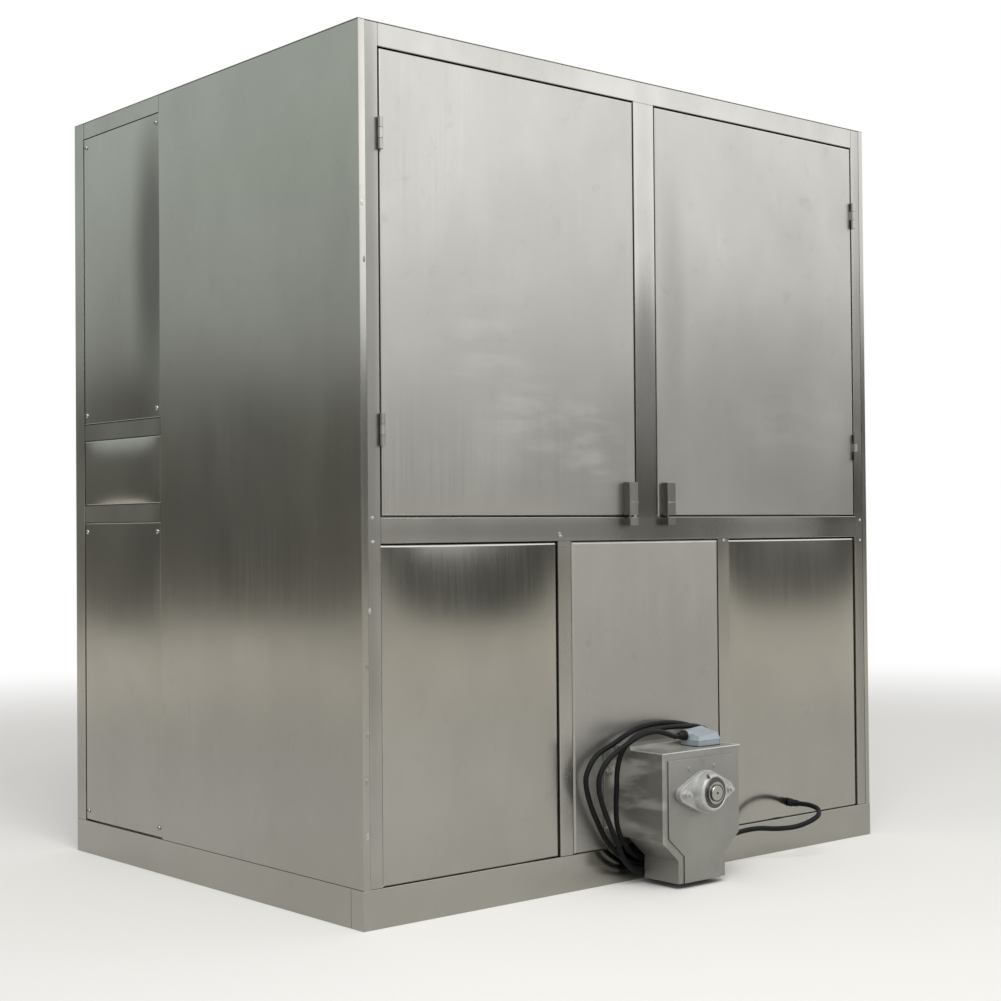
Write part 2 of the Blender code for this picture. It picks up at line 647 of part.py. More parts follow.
def make_latch(word, side, steel):
    """A tower bolt: a plate with two guides on the door, and the bolt that slides in them."""
    x = side * (MULLION / 2 + DOOR_GAP + LATCH_INSET)
    plate_y = FRONT_Y - SEAT - LATCH_PLATE
    low = DOOR_BOTTOM + BOLT_CLEARANCE
    high = low + LATCH_LENGTH
    half = LATCH_WIDTH / 2
    bolt_y = latch_bolt_y()
    front = bolt_y - BOLT_RADIUS - BOLT_CLEARANCE - LATCH_PLATE
    steps = []
    for level in (low, high - LATCH_BRACKET):
        top = level + LATCH_BRACKET
        steps.append(add(block((x - half, front, level), (x + half, plate_y + SEAT, top), SHEET / 2,
                               on_plane(1, front), 1)))
        room = BOLT_RADIUS + BOLT_CLEARANCE
        start, end = (x, bolt_y, level - PAST), (x, bolt_y, top + PAST)
        steps.append(cut(rod(start, end, room)))
    plate = block((x - half, plate_y, low), (x + half, FRONT_Y - SEAT, high))
    piece(f"{word}_latch_plate", steel, plate, steps)
    bottom = MID_RAIL_Z + MID_RAIL - DOOR_GAP - BOLT_THROW
    top = high - LATCH_BRACKET / 2
    bolt = turned([(0, BOLT_RADIUS * 0.6), (BOLT_RADIUS * 0.4, BOLT_RADIUS), (top - bottom, BOLT_RADIUS)],
                  (x, bolt_y, bottom), (0, 0, 1), 14)
    knob_z = (low + high) / 2 - BOLT_THROW / 2
    knob_end = (x + half + KNOB_LENGTH / 2, bolt_y, knob_z)
    knob = [add(rod((x, bolt_y, knob_z), knob_end, BOLT_RADIUS * 0.7, 12)),
            add(turned(KNOB_PROFILE, knob_end, (1, 0, 0), 12))]
    piece(f"{word}_latch_bolt", steel, bolt, knob, (x, bolt_y, (bottom + top) / 2))


# Outlet box
def outlet_outline(inset, chute_bottom):
    """The front view of the outlet box: a hopper whose bottom narrows to the chute."""
    half, chute = OUTLET_WIDTH / 2 - inset, CHUTE_WIDTH / 2 - inset
    slope = math.hypot(OUTLET_WIDTH / 2 - CHUTE_WIDTH / 2, SHOULDER_Z - CHUTE_TOP_Z)
    lift = inset * (slope - (SHOULDER_Z - CHUTE_TOP_Z)) / (OUTLET_WIDTH / 2 - CHUTE_WIDTH / 2)
    top = OUTLET_TOP - inset
    points = [(chute, chute_bottom), (chute, CHUTE_TOP_Z + lift), (half, SHOULDER_Z + lift), (half, top)]
    return [(OUTLET_X + x, z) for x, z in points] + [(OUTLET_X - x, z) for x, z in reversed(points)]


def make_outlet(steel):
    sheet = OUTLET_SHEET
    chute_back = PLATE_Y + CHUTE_DEPTH
    back = FRONT_Y - SEAT
    half = OUTLET_WIDTH / 2
    body = extruded(outlet_outline(0, CHUTE_BOTTOM_Z), "Y", PLATE_Y, chute_back)
    rear = block((OUTLET_X - half, chute_back - sheet, SHOULDER_Z), (OUTLET_X + half, back, OUTLET_TOP))
    flange_half = half + OUTLET_FLANGE
    flange = block((OUTLET_X - flange_half, back - sheet, SHOULDER_Z - sheet * 5),
                   (OUTLET_X + flange_half, back, OUTLET_TOP))
    inside = extruded(outlet_outline(sheet, CHUTE_BOTTOM_Z - PAST), "Y", PLATE_Y + sheet, chute_back - sheet)
    rear_inside = block((OUTLET_X - half + sheet, chute_back - 3 * sheet, SHOULDER_Z + sheet),
                        (OUTLET_X + half - sheet, back - sheet, OUTLET_TOP - sheet))
    neck_out, neck_in = TROUGH_OUTSIDE, TROUGH_RADIUS
    neck_end = FRAME_BACK - SEAT
    neck = block((OUTLET_X - neck_out, back - sheet, AUGER_Z - neck_out),
                 (OUTLET_X + neck_out, neck_end, TROUGH_TOP))
    neck_inside = block((OUTLET_X - neck_in, back - 2 * sheet, AUGER_Z - neck_in),
                        (OUTLET_X + neck_in, neck_end + PAST, TROUGH_TOP - sheet))
    # The front is open behind the bearing plate, so that the auger can be drawn out.
    door_low = (OUTLET_X - half + PLATE_INSET * 2, PLATE_Y - PAST, SHOULDER_Z + PLATE_INSET)
    door_high = (OUTLET_X + half - PLATE_INSET * 2, PLATE_Y + 2 * sheet, OUTLET_TOP - PLATE_INSET * 2)
    # The rear part's top sheet laps over the front part's and stands a little higher.
    lap_low = (OUTLET_X - half, chute_back - COVER_LAP, OUTLET_TOP - sheet / 2)
    lap = block(lap_low, (OUTLET_X + half, back, OUTLET_TOP + COVER_RISE), SHEET / 2, None, 1)
    steps = [add(rear), add(flange), cut(inside), cut(rear_inside), add(neck), cut(neck_inside),
             cut(block(door_low, door_high)), add(lap)]
    for side in (-1, 1):
        for level in (SHOULDER_Z + PLATE_INSET, OUTLET_TOP - PLATE_INSET * 3):
            start = (OUTLET_X + side * (half + OUTLET_FLANGE * 0.6), back - sheet / 2, level)
            steps.append(add(turned(PANEL_BOLT, start, (0, -1, 0), 6)))
    piece("outlet_body", steel, body, steps)
    plate_front = PLATE_Y - SEAT - sheet
    plate = extruded(outlet_outline(PLATE_INSET, CHUTE_BOTTOM_Z), "Y", plate_front, PLATE_Y - SEAT)
    hole = rod((OUTLET_X, plate_front - PAST, AUGER_Z), (OUTLET_X, PLATE_Y + PAST, AUGER_Z), PLATE_HOLE)
    plugs = []
    for side in (-1, 1):
        plug_x, plug_z = OUTLET_X + side * BEARING_BOLTS * 0.3, AUGER_Z + BEARING_BOSS * 1.25
        start = (plug_x, plate_front + sheet / 2, plug_z)
        plugs.append(add(rod(start, (start[0], plate_front - sheet / 2, start[2]), PLUG_RADIUS, 10)))
    piece("outlet_front_plate", steel, plate, [cut(hole)] + plugs)


def make_bearing(painted, steel):
    """A two-bolt flange bearing: a lozenge flange, a turned boss and two bolts."""
    back = PLATE_Y - OUTLET_SHEET - 2 * SEAT
    front = back - BEARING_FLANGE
    lobe = (BEARING_LENGTH - BEARING_BOLTS) / 2
    middle = BEARING_BOSS + BEARING_SHOULDER
    tangent = math.degrees(math.acos((middle - lobe) / (BEARING_BOLTS / 2)))
    centres = ((BEARING_BOLTS / 2, lobe, -tangent, tangent), (0, middle, tangent, 180 - tangent),
               (-BEARING_BOLTS / 2, lobe, 180 - tangent, 180 + tangent),
               (0, middle, 180 + tangent, 360 - tangent))
    outline = []
    for x, radius, start, end in centres:
        outline += arc((OUTLET_X + x, AUGER_Z), radius, start, end, 6)
    flange = extruded(outline, "Y", front, back)
    rise = BEARING_DEPTH - BEARING_FLANGE
    boss = turned([(0, BEARING_BOSS + BEARING_TAPER), (rise - BEARING_TAPER, BEARING_BOSS),
                   (rise, BEARING_BOSS - BEARING_TAPER)],
                  (OUTLET_X, front + SEAT, AUGER_Z), (0, -1, 0), 24)
    bore = rod((OUTLET_X, BEARING_FRONT - PAST, AUGER_Z), (OUTLET_X, back + PAST, AUGER_Z), BEARING_BORE, 24)
    steps = [add(boss), cut(bore)]
    for side in (-1, 1):
        centre = (OUTLET_X + side * BEARING_BOLTS / 2, front + SEAT, AUGER_Z)
        steps.append(add(turned(BEARING_BOLT, centre, (0, -1, 0), 6)))
    piece("bearing_housing", painted, flange, steps)
    shaft_front = BEARING_FRONT - COLLAR_LENGTH * 0.4
    shaft_end = GEARBOX_Y + GEARBOX_DEPTH - PAST
    shaft = turned([(0, SHAFT_RADIUS - SHAFT_CHAMFER), (SHAFT_CHAMFER, SHAFT_RADIUS),
                    (shaft_end - shaft_front, SHAFT_RADIUS)],
                   (OUTLET_X, shaft_front, AUGER_Z), (0, 1, 0), 24)
    collar_front = shaft_front + COLLAR_SETBACK
    collar = rod((OUTLET_X, collar_front, AUGER_Z),
                 (OUTLET_X, collar_front + COLLAR_LENGTH, AUGER_Z), COLLAR_RADIUS, 24)
    piece("auger_shaft", steel, shaft, [add(collar)], (OUTLET_X, shaft_front, AUGER_Z))


def make_flight(steel):
    """The auger's ribbon: a helix of flat section wound round the shaft."""
    start = PLATE_Y + OUTLET_SHEET * 5
    end = BULKHEAD_Y + BULKHEAD - PAST
    per_turn = 16
    steps = int((end - start) / FLIGHT_PITCH * per_turn)
    inner, outer = SHAFT_RADIUS + SEAT, FLIGHT_RADIUS
    # The inner edge is a chain of chords, so it starts a little outside the shaft.
    inner /= math.cos(math.pi / per_turn)
    shape = bmesh.new()
    rings = []
    for step in range(steps + 1):
        angle = math.tau * step / per_turn
        y = start + (end - start - FLIGHT_SHEET) * step / steps
        ring = []
        for radius, offset in ((inner, 0), (outer, 0), (outer, FLIGHT_SHEET), (inner, FLIGHT_SHEET)):
            x, z = OUTLET_X + radius * math.cos(angle), AUGER_Z + radius * math.sin(angle)
            ring.append(shape.verts.new((x, y + offset, z)))
        rings.append(ring)
    for ring, following in zip(rings, rings[1:]):
        for corner in range(4):
            after = (corner + 1) % 4
            shape.faces.new((ring[corner], ring[after], following[after], following[corner]))
    shape.faces.new(rings[0])
    shape.faces.new(list(reversed(rings[-1])))
    piece("auger_flight", steel, shape, (), (OUTLET_X, start, AUGER_Z))


def make_trough(steel):
    """A U-shaped channel with a closed rear end that carries the gearbox."""
    def section(radius, top):
        bottom = arc((OUTLET_X, AUGER_Z), radius, 180, 360, 10)
        return [(OUTLET_X - radius, top)] + bottom + [(OUTLET_X + radius, top)]
    outer = extruded(section(TROUGH_OUTSIDE, TROUGH_TOP), "Y", FRAME_BACK, TROUGH_BACK)
    inner = extruded(section(TROUGH_RADIUS, TROUGH_TOP + PAST), "Y", FRAME_BACK - PAST,
                     TROUGH_BACK - TROUGH_SHEET)
    hole = rod((OUTLET_X, TROUGH_BACK - 2 * TROUGH_SHEET, AUGER_Z), (OUTLET_X, TROUGH_BACK + PAST, AUGER_Z),
               PLATE_HOLE)
    piece("auger_trough", steel, outer, [cut(inner), cut(hole)])


def make_drive(painted):
    """A hollow-shaft worm gearbox on the trough's end, with its motor standing on it."""
    half = GEARBOX_SIZE / 2
    low = (OUTLET_X - half, GEARBOX_Y, AUGER_Z - half)
    high = (OUTLET_X + half, GEARBOX_Y + GEARBOX_DEPTH, AUGER_Z + half)
    bore = rod((OUTLET_X, low[1] - PAST, AUGER_Z), (OUTLET_X, high[1] + PAST, AUGER_Z), GEARBOX_BORE, 24)
    foot = block((low[0] + GEARBOX_EDGE, low[1] + GEARBOX_EDGE, FLOOR_TOP + SEAT),
                 (high[0] - GEARBOX_EDGE, high[1] - GEARBOX_EDGE, low[2] + GEARBOX_EDGE))
    piece("gearbox", painted, block(low, high, GEARBOX_EDGE), [cut(bore), add(foot)])
    centre = (OUTLET_X, GEARBOX_Y + GEARBOX_DEPTH / 2, high[2] + SEAT)
    flange = MOTOR_RADIUS * 0.85
    cowl = MOTOR_LENGTH - MOTOR_COWL
    profile = [(0, flange), (MOTOR_FLANGE, flange), (MOTOR_FLANGE + MOTOR_STEP, MOTOR_RADIUS),
               (cowl, MOTOR_RADIUS), (cowl + MOTOR_STEP, MOTOR_RADIUS * 0.97),
               (MOTOR_LENGTH - GEARBOX_EDGE, MOTOR_RADIUS * 0.95), (MOTOR_LENGTH, MOTOR_RADIUS * 0.7)]
    steps = []
    for step in range(MOTOR_FINS):
        angle = math.tau * step / MOTOR_FINS
        out = Vector((math.cos(angle), math.sin(angle), 0))
        fin_centre = Vector(centre) + out * MOTOR_RADIUS
        start, end = fin_centre + Vector((0, 0, FIN_INSET)), fin_centre + Vector((0, 0, cowl - GEARBOX_EDGE))
        steps.append(add(rod(start, end, FIN_RADIUS, 6)))
    piece("gear_motor", painted, turned(profile, centre, (0, 0, 1), 24), steps)


# Ice-making compartment
def make_tank(steel):
    low = (-TANK_HALF_WIDTH, FRAME_BACK + TANK_END_GAP, FLOOR_TOP + SEAT)
    high = (TANK_HALF_WIDTH, BULKHEAD_Y - SEAT, TANK_TOP)
    shape, steps = tray(low, high, TANK_SHEET, (2, 1))
    room = TROUGH_OUTSIDE + SEAT
    notch = [(OUTLET_X - room, TANK_TOP + PAST)] + arc((OUTLET_X, AUGER_Z), room, 180, 360, 10)
    notch.append((OUTLET_X + room, TANK_TOP + PAST))
    steps.append(cut(extruded(notch, "Y", low[1] - PAST, high[1] + PAST)))
    piece("water_tank", steel, shape, steps)


def make_slide(steel):
    """Two slotted slopes that lead the cubes into the trough and let the water through."""
    low_y, high_y = FRAME_BACK + TANK_END_GAP + SLIDE_END_GAP, BULKHEAD_Y - SLIDE_END_GAP
    lap = SLIDE_END_GAP / 2
    sheet = SLIDE_SHEET
    end = TANK_HALF_WIDTH - sheet
    base, low_z, high_z = TANK_TOP + SEAT, TROUGH_TOP + SLIDE_CLEARANCE, TANK_TOP + SLIDE_RISE
    slopes, slots = [], []
    for side in (-1, 1):
        start = OUTLET_X + side * (TROUGH_OUTSIDE + SEAT)
        outline = [(start, low_z), (side * (end - sheet), high_z), (side * (end - sheet), base),
                   (side * (end + sheet), base), (side * (end + sheet), high_z + sheet),
                   (start, low_z + sheet)]
        slopes.append(extruded(outline, "Y", low_y, high_y))
        pitch = (high_y - low_y) / SLIDE_SLOTS
        reach = side * end - start
        for slot in range(SLIDE_SLOTS):
            middle = low_y + pitch * (slot + 0.5)
            for share in SLOT_PLACES:
                x_low, x_high = sorted((start + reach * share, start + reach * (share + SLOT_LENGTH)))
                low = (x_low, middle - pitch * SLOT_WIDTH / 2, base - PAST)
                slots.append(cut(block(low, (x_high, middle + pitch * SLOT_WIDTH / 2, high_z + PAST))))
    # A strap at each end joins the slopes over the trough and stands on the tank's wall.
    straps = []
    strap_x = TROUGH_OUTSIDE + STRAP_REACH
    for y_low, y_high in ((FRAME_BACK + TANK_END_GAP, low_y + lap), (high_y - lap, BULKHEAD_Y - SEAT)):
        low, high = (OUTLET_X - strap_x, y_low, base), (OUTLET_X + strap_x, y_high, low_z + 2 * sheet)
        room_low = (OUTLET_X - TROUGH_OUTSIDE - SEAT, y_low - PAST, base - PAST)
        room_high = (OUTLET_X + TROUGH_OUTSIDE + SEAT, y_high + PAST, TROUGH_TOP + SEAT)
        straps += [add(block(low, high)), cut(block(room_low, room_high))]
    piece("ice_slide", steel, slopes[0], [add(slopes[1])] + straps + slots)


def evaporator_centres():
    return [EVAPORATOR_PITCH * (step - (EVAPORATORS - 1) / 2) for step in range(EVAPORATORS)]


def make_evaporators(copper, liner):
    """Plates of square cells that face the doors, each hung from the rail by two tabs."""
    bottom = EVAPORATOR_TOP - EVAPORATOR_HEIGHT
    back = EVAPORATOR_Y + EVAPORATOR_DEPTH
    for number, centre in enumerate(evaporator_centres(), 1):
        low_x = centre - EVAPORATOR_WIDTH / 2
        plate = block((low_x, EVAPORATOR_Y, bottom), (low_x + EVAPORATOR_WIDTH, back, EVAPORATOR_TOP))
        frame = CELL_WALL * 2.5
        across = (EVAPORATOR_WIDTH - 2 * frame + CELL_WALL) / CELLS_ACROSS
        up = (EVAPORATOR_HEIGHT - 2 * frame + CELL_WALL) / CELLS_UP
        cells = bmesh.new()
        for column in range(CELLS_ACROSS):
            for row in range(CELLS_UP):
                x, z = low_x + frame + across * column, bottom + frame + up * row
                cell = block((x, EVAPORATOR_Y - PAST, z),
                             (x + across - CELL_WALL, EVAPORATOR_Y + CELL_DEPTH, z + up - CELL_WALL))
                mesh = bpy.data.meshes.new("cell")
                cell.to_mesh(mesh)
                cell.free()
                cells.from_mesh(mesh)
                bpy.data.meshes.remove(mesh)
        steps = [cut(cells)]
        for offset in (-0.3, 0.3):
            x = centre + EVAPORATOR_WIDTH * offset
            tab = block((x - TAB_WIDTH / 2, back - SEAT, EVAPORATOR_TOP - TAB_LENGTH),
                        (x + TAB_WIDTH / 2, back + SHEET * 2, EVAPORATOR_TOP + RAIL_HEIGHT + SHEET))
            steps.append(add(tab))
        piece(f"evaporator_{number}", copper, plate, steps)
    reach = FRAME_X - SEAT
    rail_low = EVAPORATOR_TOP - SHEET
    rail_y = back + SHEET * 2 + SEAT
    rail = [(rail_y, rail_low), (rail_y + RAIL_DEPTH, rail_low), (rail_y + RAIL_DEPTH, rail_low + SHEET * 2),
            (rail_y + SHEET * 2, rail_low + SHEET * 2), (rail_y + SHEET * 2, rail_low + RAIL_HEIGHT * 2),
            (rail_y, rail_low + RAIL_HEIGHT * 2)]
    piece("evaporator_rail", liner, extruded(rail, "X", -reach, reach))


def make_header(plastic):
    """The water header lies on the rail and drips over each evaporator through two outlets."""
    back = EVAPORATOR_Y + EVAPORATOR_DEPTH + SHEET * 4 + SEAT * 2
    y = back + HEADER_RADIUS
    z = EVAPORATOR_TOP + SHEET + SEAT * 2 + HEADER_RADIUS + RAIL_HEIGHT * 2
    ends = EVAPORATOR_PITCH * 2
    pipe = rod((-ends, y, z), (ends, y, z), HEADER_RADIUS, 12)
    steps = []
    for centre in evaporator_centres():
        for offset in (-DRIP_OFFSET, DRIP_OFFSET):
            x = centre + offset
            over = EVAPORATOR_Y + EVAPORATOR_DEPTH / 2
            steps.append(add(rod((x, y, z), (x, over, z), DRIP_RADIUS, 8)))
            steps.append(add(rod((x, over, z + DRIP_RADIUS * 0.8), (x, over, EVAPORATOR_TOP + DRIP_GAP),
                                 DRIP_RADIUS * 0.8, 8)))
        # A clip holds the pipe on the rail.
        clip_low = (centre - CLIP_WIDTH / 2, back, EVAPORATOR_TOP + SHEET + SEAT)
        steps.append(add(block(clip_low, (centre + CLIP_WIDTH / 2, back + HEADER_RADIUS * 1.4, z))))
    piece("water_header", plastic, pipe, steps)


def make_manifold(copper):
    """Suction pipe behind the evaporators, from their backs through to the bulkhead."""
    back = EVAPORATOR_Y + EVAPORATOR_DEPTH + SEAT
    y = back + MANIFOLD_OFFSET
    z = EVAPORATOR_TOP - MANIFOLD_DROP
    ends = evaporator_centres()[-1] + 2 * PIPE_RADIUS
    pipe = rod((-ends, y, z), (ends, y, z), PIPE_RADIUS, 12)
    steps = []
    for centre in evaporator_centres():
        steps.append(add(rod((centre, back, z), (centre, y, z), PIPE_RADIUS * 0.8, 10)))
        steps.append(add(rod((centre, back, z), (centre, back + UNION_LENGTH, z), PIPE_RADIUS * 1.6, 12)))
    x = evaporator_centres()[1]
    steps.append(add(rod((x, y, z), (x, BULKHEAD_Y - SEAT, z), PIPE_RADIUS, 12)))
    piece("evaporator_manifold", copper, pipe, steps)


def make_pump(plastic):
    """A submersible pump that stands on the tank's bottom."""
    floor = FLOOR_TOP + SEAT * 2 + TANK_SHEET
    x = TANK_HALF_WIDTH - PUMP_SIDE_GAP
    y = EVAPORATOR_Y + EVAPORATOR_DEPTH + SHEET * 4 + SEAT * 2 + HEADER_RADIUS + PUMP_BEHIND
    body = turned(PUMP_BODY, (x, y, floor), (0, 0, 1), 20)
    level = floor + PUMP_SPIGOT_Z
    spigot = add(rod((x, y, level), (x + PUMP_SPIGOT, y, level), DRIP_RADIUS, 10))
    piece("water_pump", plastic, body, [spigot])


def float_pivot():
    x = -TANK_HALF_WIDTH + TANK_SHEET + FLOAT_REACH
    return Vector((x, FLOAT_Y, TANK_TOP - FLOAT_DROP))


def make_float(brass, plastic):
    """A float valve: its body on the tank's wall, and an arm that swings on a pin."""
    pivot = float_pivot()
    wall = -TANK_HALF_WIDTH + TANK_SHEET + SEAT
    body = rod((wall, pivot.y, pivot.z), (pivot.x - VALVE_SETBACK, pivot.y, pivot.z), VALVE_RADIUS, 12)
    steps = []
    for side in (-1, 1):
        y_low, y_high = sorted((pivot.y + side * CHEEK_GAP, pivot.y + side * CHEEK_SIDE))
        steps.append(add(block((pivot.x - CHEEK_BACK, y_low, pivot.z - CHEEK_HALF),
                               (pivot.x + CHEEK_FRONT, y_high, pivot.z + CHEEK_HALF))))
    pin_end = Vector((0, (CHEEK_GAP + CHEEK_SIDE) / 2, 0))
    steps.append(add(rod(pivot - pin_end, pivot + pin_end, FLOAT_PIN, 10)))
    piece("float_valve", brass, body, steps)
    arm = block((pivot.x - ARM_HALF, pivot.y - ARM_SIDE, pivot.z - ARM_HALF),
                (pivot.x + ARM_LENGTH, pivot.y + ARM_SIDE, pivot.z + ARM_HALF))
    bore = cut(rod(pivot - pin_end, pivot + pin_end, FLOAT_PIN + SEAT, 10))
    cap = BALL_RADIUS * (1 - math.cos(math.radians(BALL_CAP)))
    profile = []
    for step in range(9):
        angle = math.radians(BALL_CAP + (180 - 2 * BALL_CAP) * step / 8)
        profile.append((BALL_RADIUS * (1 - math.cos(angle)) - cap, BALL_RADIUS * math.sin(angle)))
    ball_start = pivot + Vector((ARM_LENGTH - ARM_INTO_BALL, 0, 0))
    ball = add(turned(profile, ball_start, (1, 0, 0), 16))
    piece("float_arm", plastic, arm, [bore, ball], tuple(pivot))


# Machine room
def make_compressor(painted):
    floor = FLOOR_TOP + SEAT
    radius, height = COMPRESSOR_RADIUS, COMPRESSOR_HEIGHT
    centre = (COMPRESSOR_X, MACHINE_Y, floor + COMPRESSOR_STAND)
    shares = ((0, 0.80), (0.07, 0.97), (0.08, 1), (0.70, 1), (0.72, 1.04), (0.76, 1.04), (0.78, 0.98),
              (0.90, 0.86), (1, 0.45))
    profile = [(height * along, radius * across) for along, across in shares]
    steps = [add(block((COMPRESSOR_X - radius, MACHINE_Y - radius, floor + FOOT_HEIGHT),
                       (COMPRESSOR_X + radius, MACHINE_Y + radius, floor + FOOT_HEIGHT + COMPRESSOR_PLATE)))]
    for side_x in (-1, 1):
        for side_y in (-1, 1):
            foot = (COMPRESSOR_X + side_x * radius * 0.82, MACHINE_Y + side_y * radius * 0.82, floor)
            foot_top = floor + FOOT_HEIGHT + COMPRESSOR_PLATE / 3
            steps.append(add(rod(foot, (foot[0], foot[1], foot_top), FOOT_RADIUS, 12)))
    box_low = (COMPRESSOR_X - TERMINAL_HALF, MACHINE_Y - radius - TERMINAL_PROUD, floor + height * 0.40)
    box_high = (COMPRESSOR_X + TERMINAL_HALF, MACHINE_Y - radius * 0.8, floor + height * 0.62)
    steps.append(add(block(box_low, box_high, TERMINAL_EDGE)))
    piece("compressor", painted, turned(profile, centre, (0, 0, 1), 20), steps)


def make_condenser(painted):
    """A water-cooled shell-and-tube condenser on two saddles."""
    floor = FLOOR_TOP + SEAT
    radius, length = CONDENSER_RADIUS, CONDENSER_LENGTH
    z = floor + CONDENSER_STAND + radius
    head, flange = CONDENSER_HEAD, radius + HEAD_FLANGE
    profile = [(0, radius * 0.8), (HEAD_FLANGE, flange), (head, flange), (head + SHEET, radius),
               (length - head - SHEET, radius), (length - head, flange), (length - HEAD_FLANGE, flange),
               (length, radius * 0.8)]
    steps = []
    for share in (0.2, 0.8):
        x = CONDENSER_LOW_X + length * share
        steps.append(add(block((x - SADDLE_HALF, MACHINE_Y - radius * 0.8, floor),
                               (x + SADDLE_HALF, MACHINE_Y + radius * 0.8, z - radius * 0.5))))
    piece("condenser", painted, turned(profile, (CONDENSER_LOW_X, MACHINE_Y, z), (1, 0, 0), 24), steps)


def smooth_points(route, spacing):
    """Points at an even spacing on a smooth curve through the route's own points."""
    route = [Vector(point) for point in route]
    padded = [2 * route[0] - route[1]] + route + [2 * route[-1] - route[-2]]
    fine = []
    for a, b, c, d in zip(padded, padded[1:], padded[2:], padded[3:]):
        for step in range(20):
            t = step / 20
            fine.append(0.5 * (2 * b + (c - a) * t + (2 * a - 5 * b + 4 * c - d) * t ** 2
                               + (3 * b - a - 3 * c + d) * t ** 3))
    fine.append(route[-1])
    length = sum((after - before).length for before, after in zip(fine, fine[1:]))
    count = max(2, round(length / spacing))
    points, run, target = [fine[0]], 0.0, length / count
    for before, after in zip(fine, fine[1:]):
        part = (after - before).length
        while run + part >= target * len(points) and len(points) < count:
            share = (target * len(points) - run) / part
            points.append(before.lerp(after, share))
        run += part
    return points + [fine[-1]]


def tube(name, finish, points, radius, resolution):
    """A round tube along its points, as a curve with a bevel and filled caps."""
    curve = bpy.data.curves.new(name, "CURVE")
    curve.dimensions = "3D"
    curve.bevel_depth = radius
    curve.bevel_resolution = resolution
    curve.use_fill_caps = True
    spline = curve.splines.new("POLY")
    spline.points.add(len(points) - 1)
    for knot, point in zip(spline.points, points):
        knot.co = (*point, 1.0)
    curve.materials.append(finish)
    item = bpy.data.objects.new(name, curve)
    bpy.context.scene.collection.objects.link(item)
    return item


def make_refrigerant_lines(copper):
    floor = FLOOR_TOP + SEAT
    bend, straight = LINE_BEND, PIPE_RADIUS * 5
    top_x, top_z = evaporator_centres()[1], EVAPORATOR_TOP - MANIFOLD_DROP
    low_z = floor + COMPRESSOR_STAND + COMPRESSOR_HEIGHT + SEAT
    start_y = BULKHEAD_BACK + SEAT
    side = top_x - bend * 0.3
    suction = [(top_x, start_y, top_z), (top_x, start_y + straight, top_z), (top_x, MACHINE_Y - bend, top_z),
               (side, MACHINE_Y, top_z - bend), (side, MACHINE_Y, (top_z + low_z) / 2),
               (COMPRESSOR_X, MACHINE_Y, low_z + bend * 2), (COMPRESSOR_X, MACHINE_Y, low_z + straight),
               (COMPRESSOR_X, MACHINE_Y, low_z)]
    tube("suction_line", copper, smooth_points(suction, straight), PIPE_RADIUS, 2)
    low_z = floor + CONDENSER_STAND + 2 * CONDENSER_RADIUS + SEAT
    x = CONDENSER_LOW_X + CONDENSER_LENGTH * 0.2
    top_z = ELECTRIC_Z - ELECTRIC_HEIGHT / 2 - LIQUID_DROP
    liquid = [(x, MACHINE_Y, low_z), (x, MACHINE_Y, low_z + bend), (x, MACHINE_Y, top_z - bend),
              (x, MACHINE_Y - bend * 0.3, top_z - bend * 0.2), (x, MACHINE_Y - bend, top_z),
              (x, start_y, top_z)]
    tube("liquid_line", copper, smooth_points(liquid, straight), PIPE_RADIUS * 0.7, 2)


def make_electric_box(painted):
    half = ELECTRIC_WIDTH / 2
    low = (ELECTRIC_X - half, BULKHEAD_BACK + SEAT, ELECTRIC_Z - ELECTRIC_HEIGHT / 2)
    high = (ELECTRIC_X + half, BULKHEAD_BACK + ELECTRIC_DEPTH, ELECTRIC_Z + ELECTRIC_HEIGHT / 2)
    cover_low = (low[0] - COVER_LIP, high[1] - ELECTRIC_COVER, low[2] - COVER_LIP)
    cover = block(cover_low, (high[0] + COVER_LIP, high[1] + COVER_LIP, high[2] + COVER_LIP), COVER_EDGE)
    piece("electric_box", painted, block(low, high), [add(cover)])


# Switch box, gland and cable
def make_switch_box(plastic):
    """A moulded box whose top slopes down towards the front and the left, with its cable boss."""
    base = OUTLET_TOP + SEAT
    low_x, high_x = SWITCH_X - SWITCH_WIDTH / 2, SWITCH_X + SWITCH_WIDTH / 2
    front, back = SWITCH_Y - SWITCH_DEPTH / 2, SWITCH_Y + SWITCH_DEPTH / 2
    wall_top = base + SWITCH_LOW
    shape = block((low_x, front, wall_top), (high_x, back, base + SWITCH_HIGH))
    for vertex in shape.verts:
        if vertex.co.z > wall_top + SEAT:
            forward, leftward = vertex.co.y < SWITCH_Y, vertex.co.x < SWITCH_X
            vertex.co.x += SWITCH_SLOPE if leftward else -SWITCH_SLOPE / 4
            vertex.co.y += SWITCH_SLOPE if forward else -SWITCH_SLOPE / 4
            vertex.co.z -= (SWITCH_DROP if forward else 0) + (SWITCH_DROP / 2 if leftward else 0)
    bmesh.ops.triangulate(shape, faces=shape.faces)
    wall = block((low_x, front, base), (high_x, back, wall_top + SEAT), SWITCH_RADIUS,
                 lambda edge: abs(edge.verts[0].co.z - edge.verts[1].co.z) > SEAT)
    end = cable_route()[0]
    boss_start = (low_x + SWITCH_WIDTH / 4, end[1], end[2])
    boss = rod(boss_start, (end[0] + SHEET, end[1], end[2]), CABLE_RADIUS * 1.6, 12)
    piece("switch_box", plastic, wall, [add(shape), add(boss)])


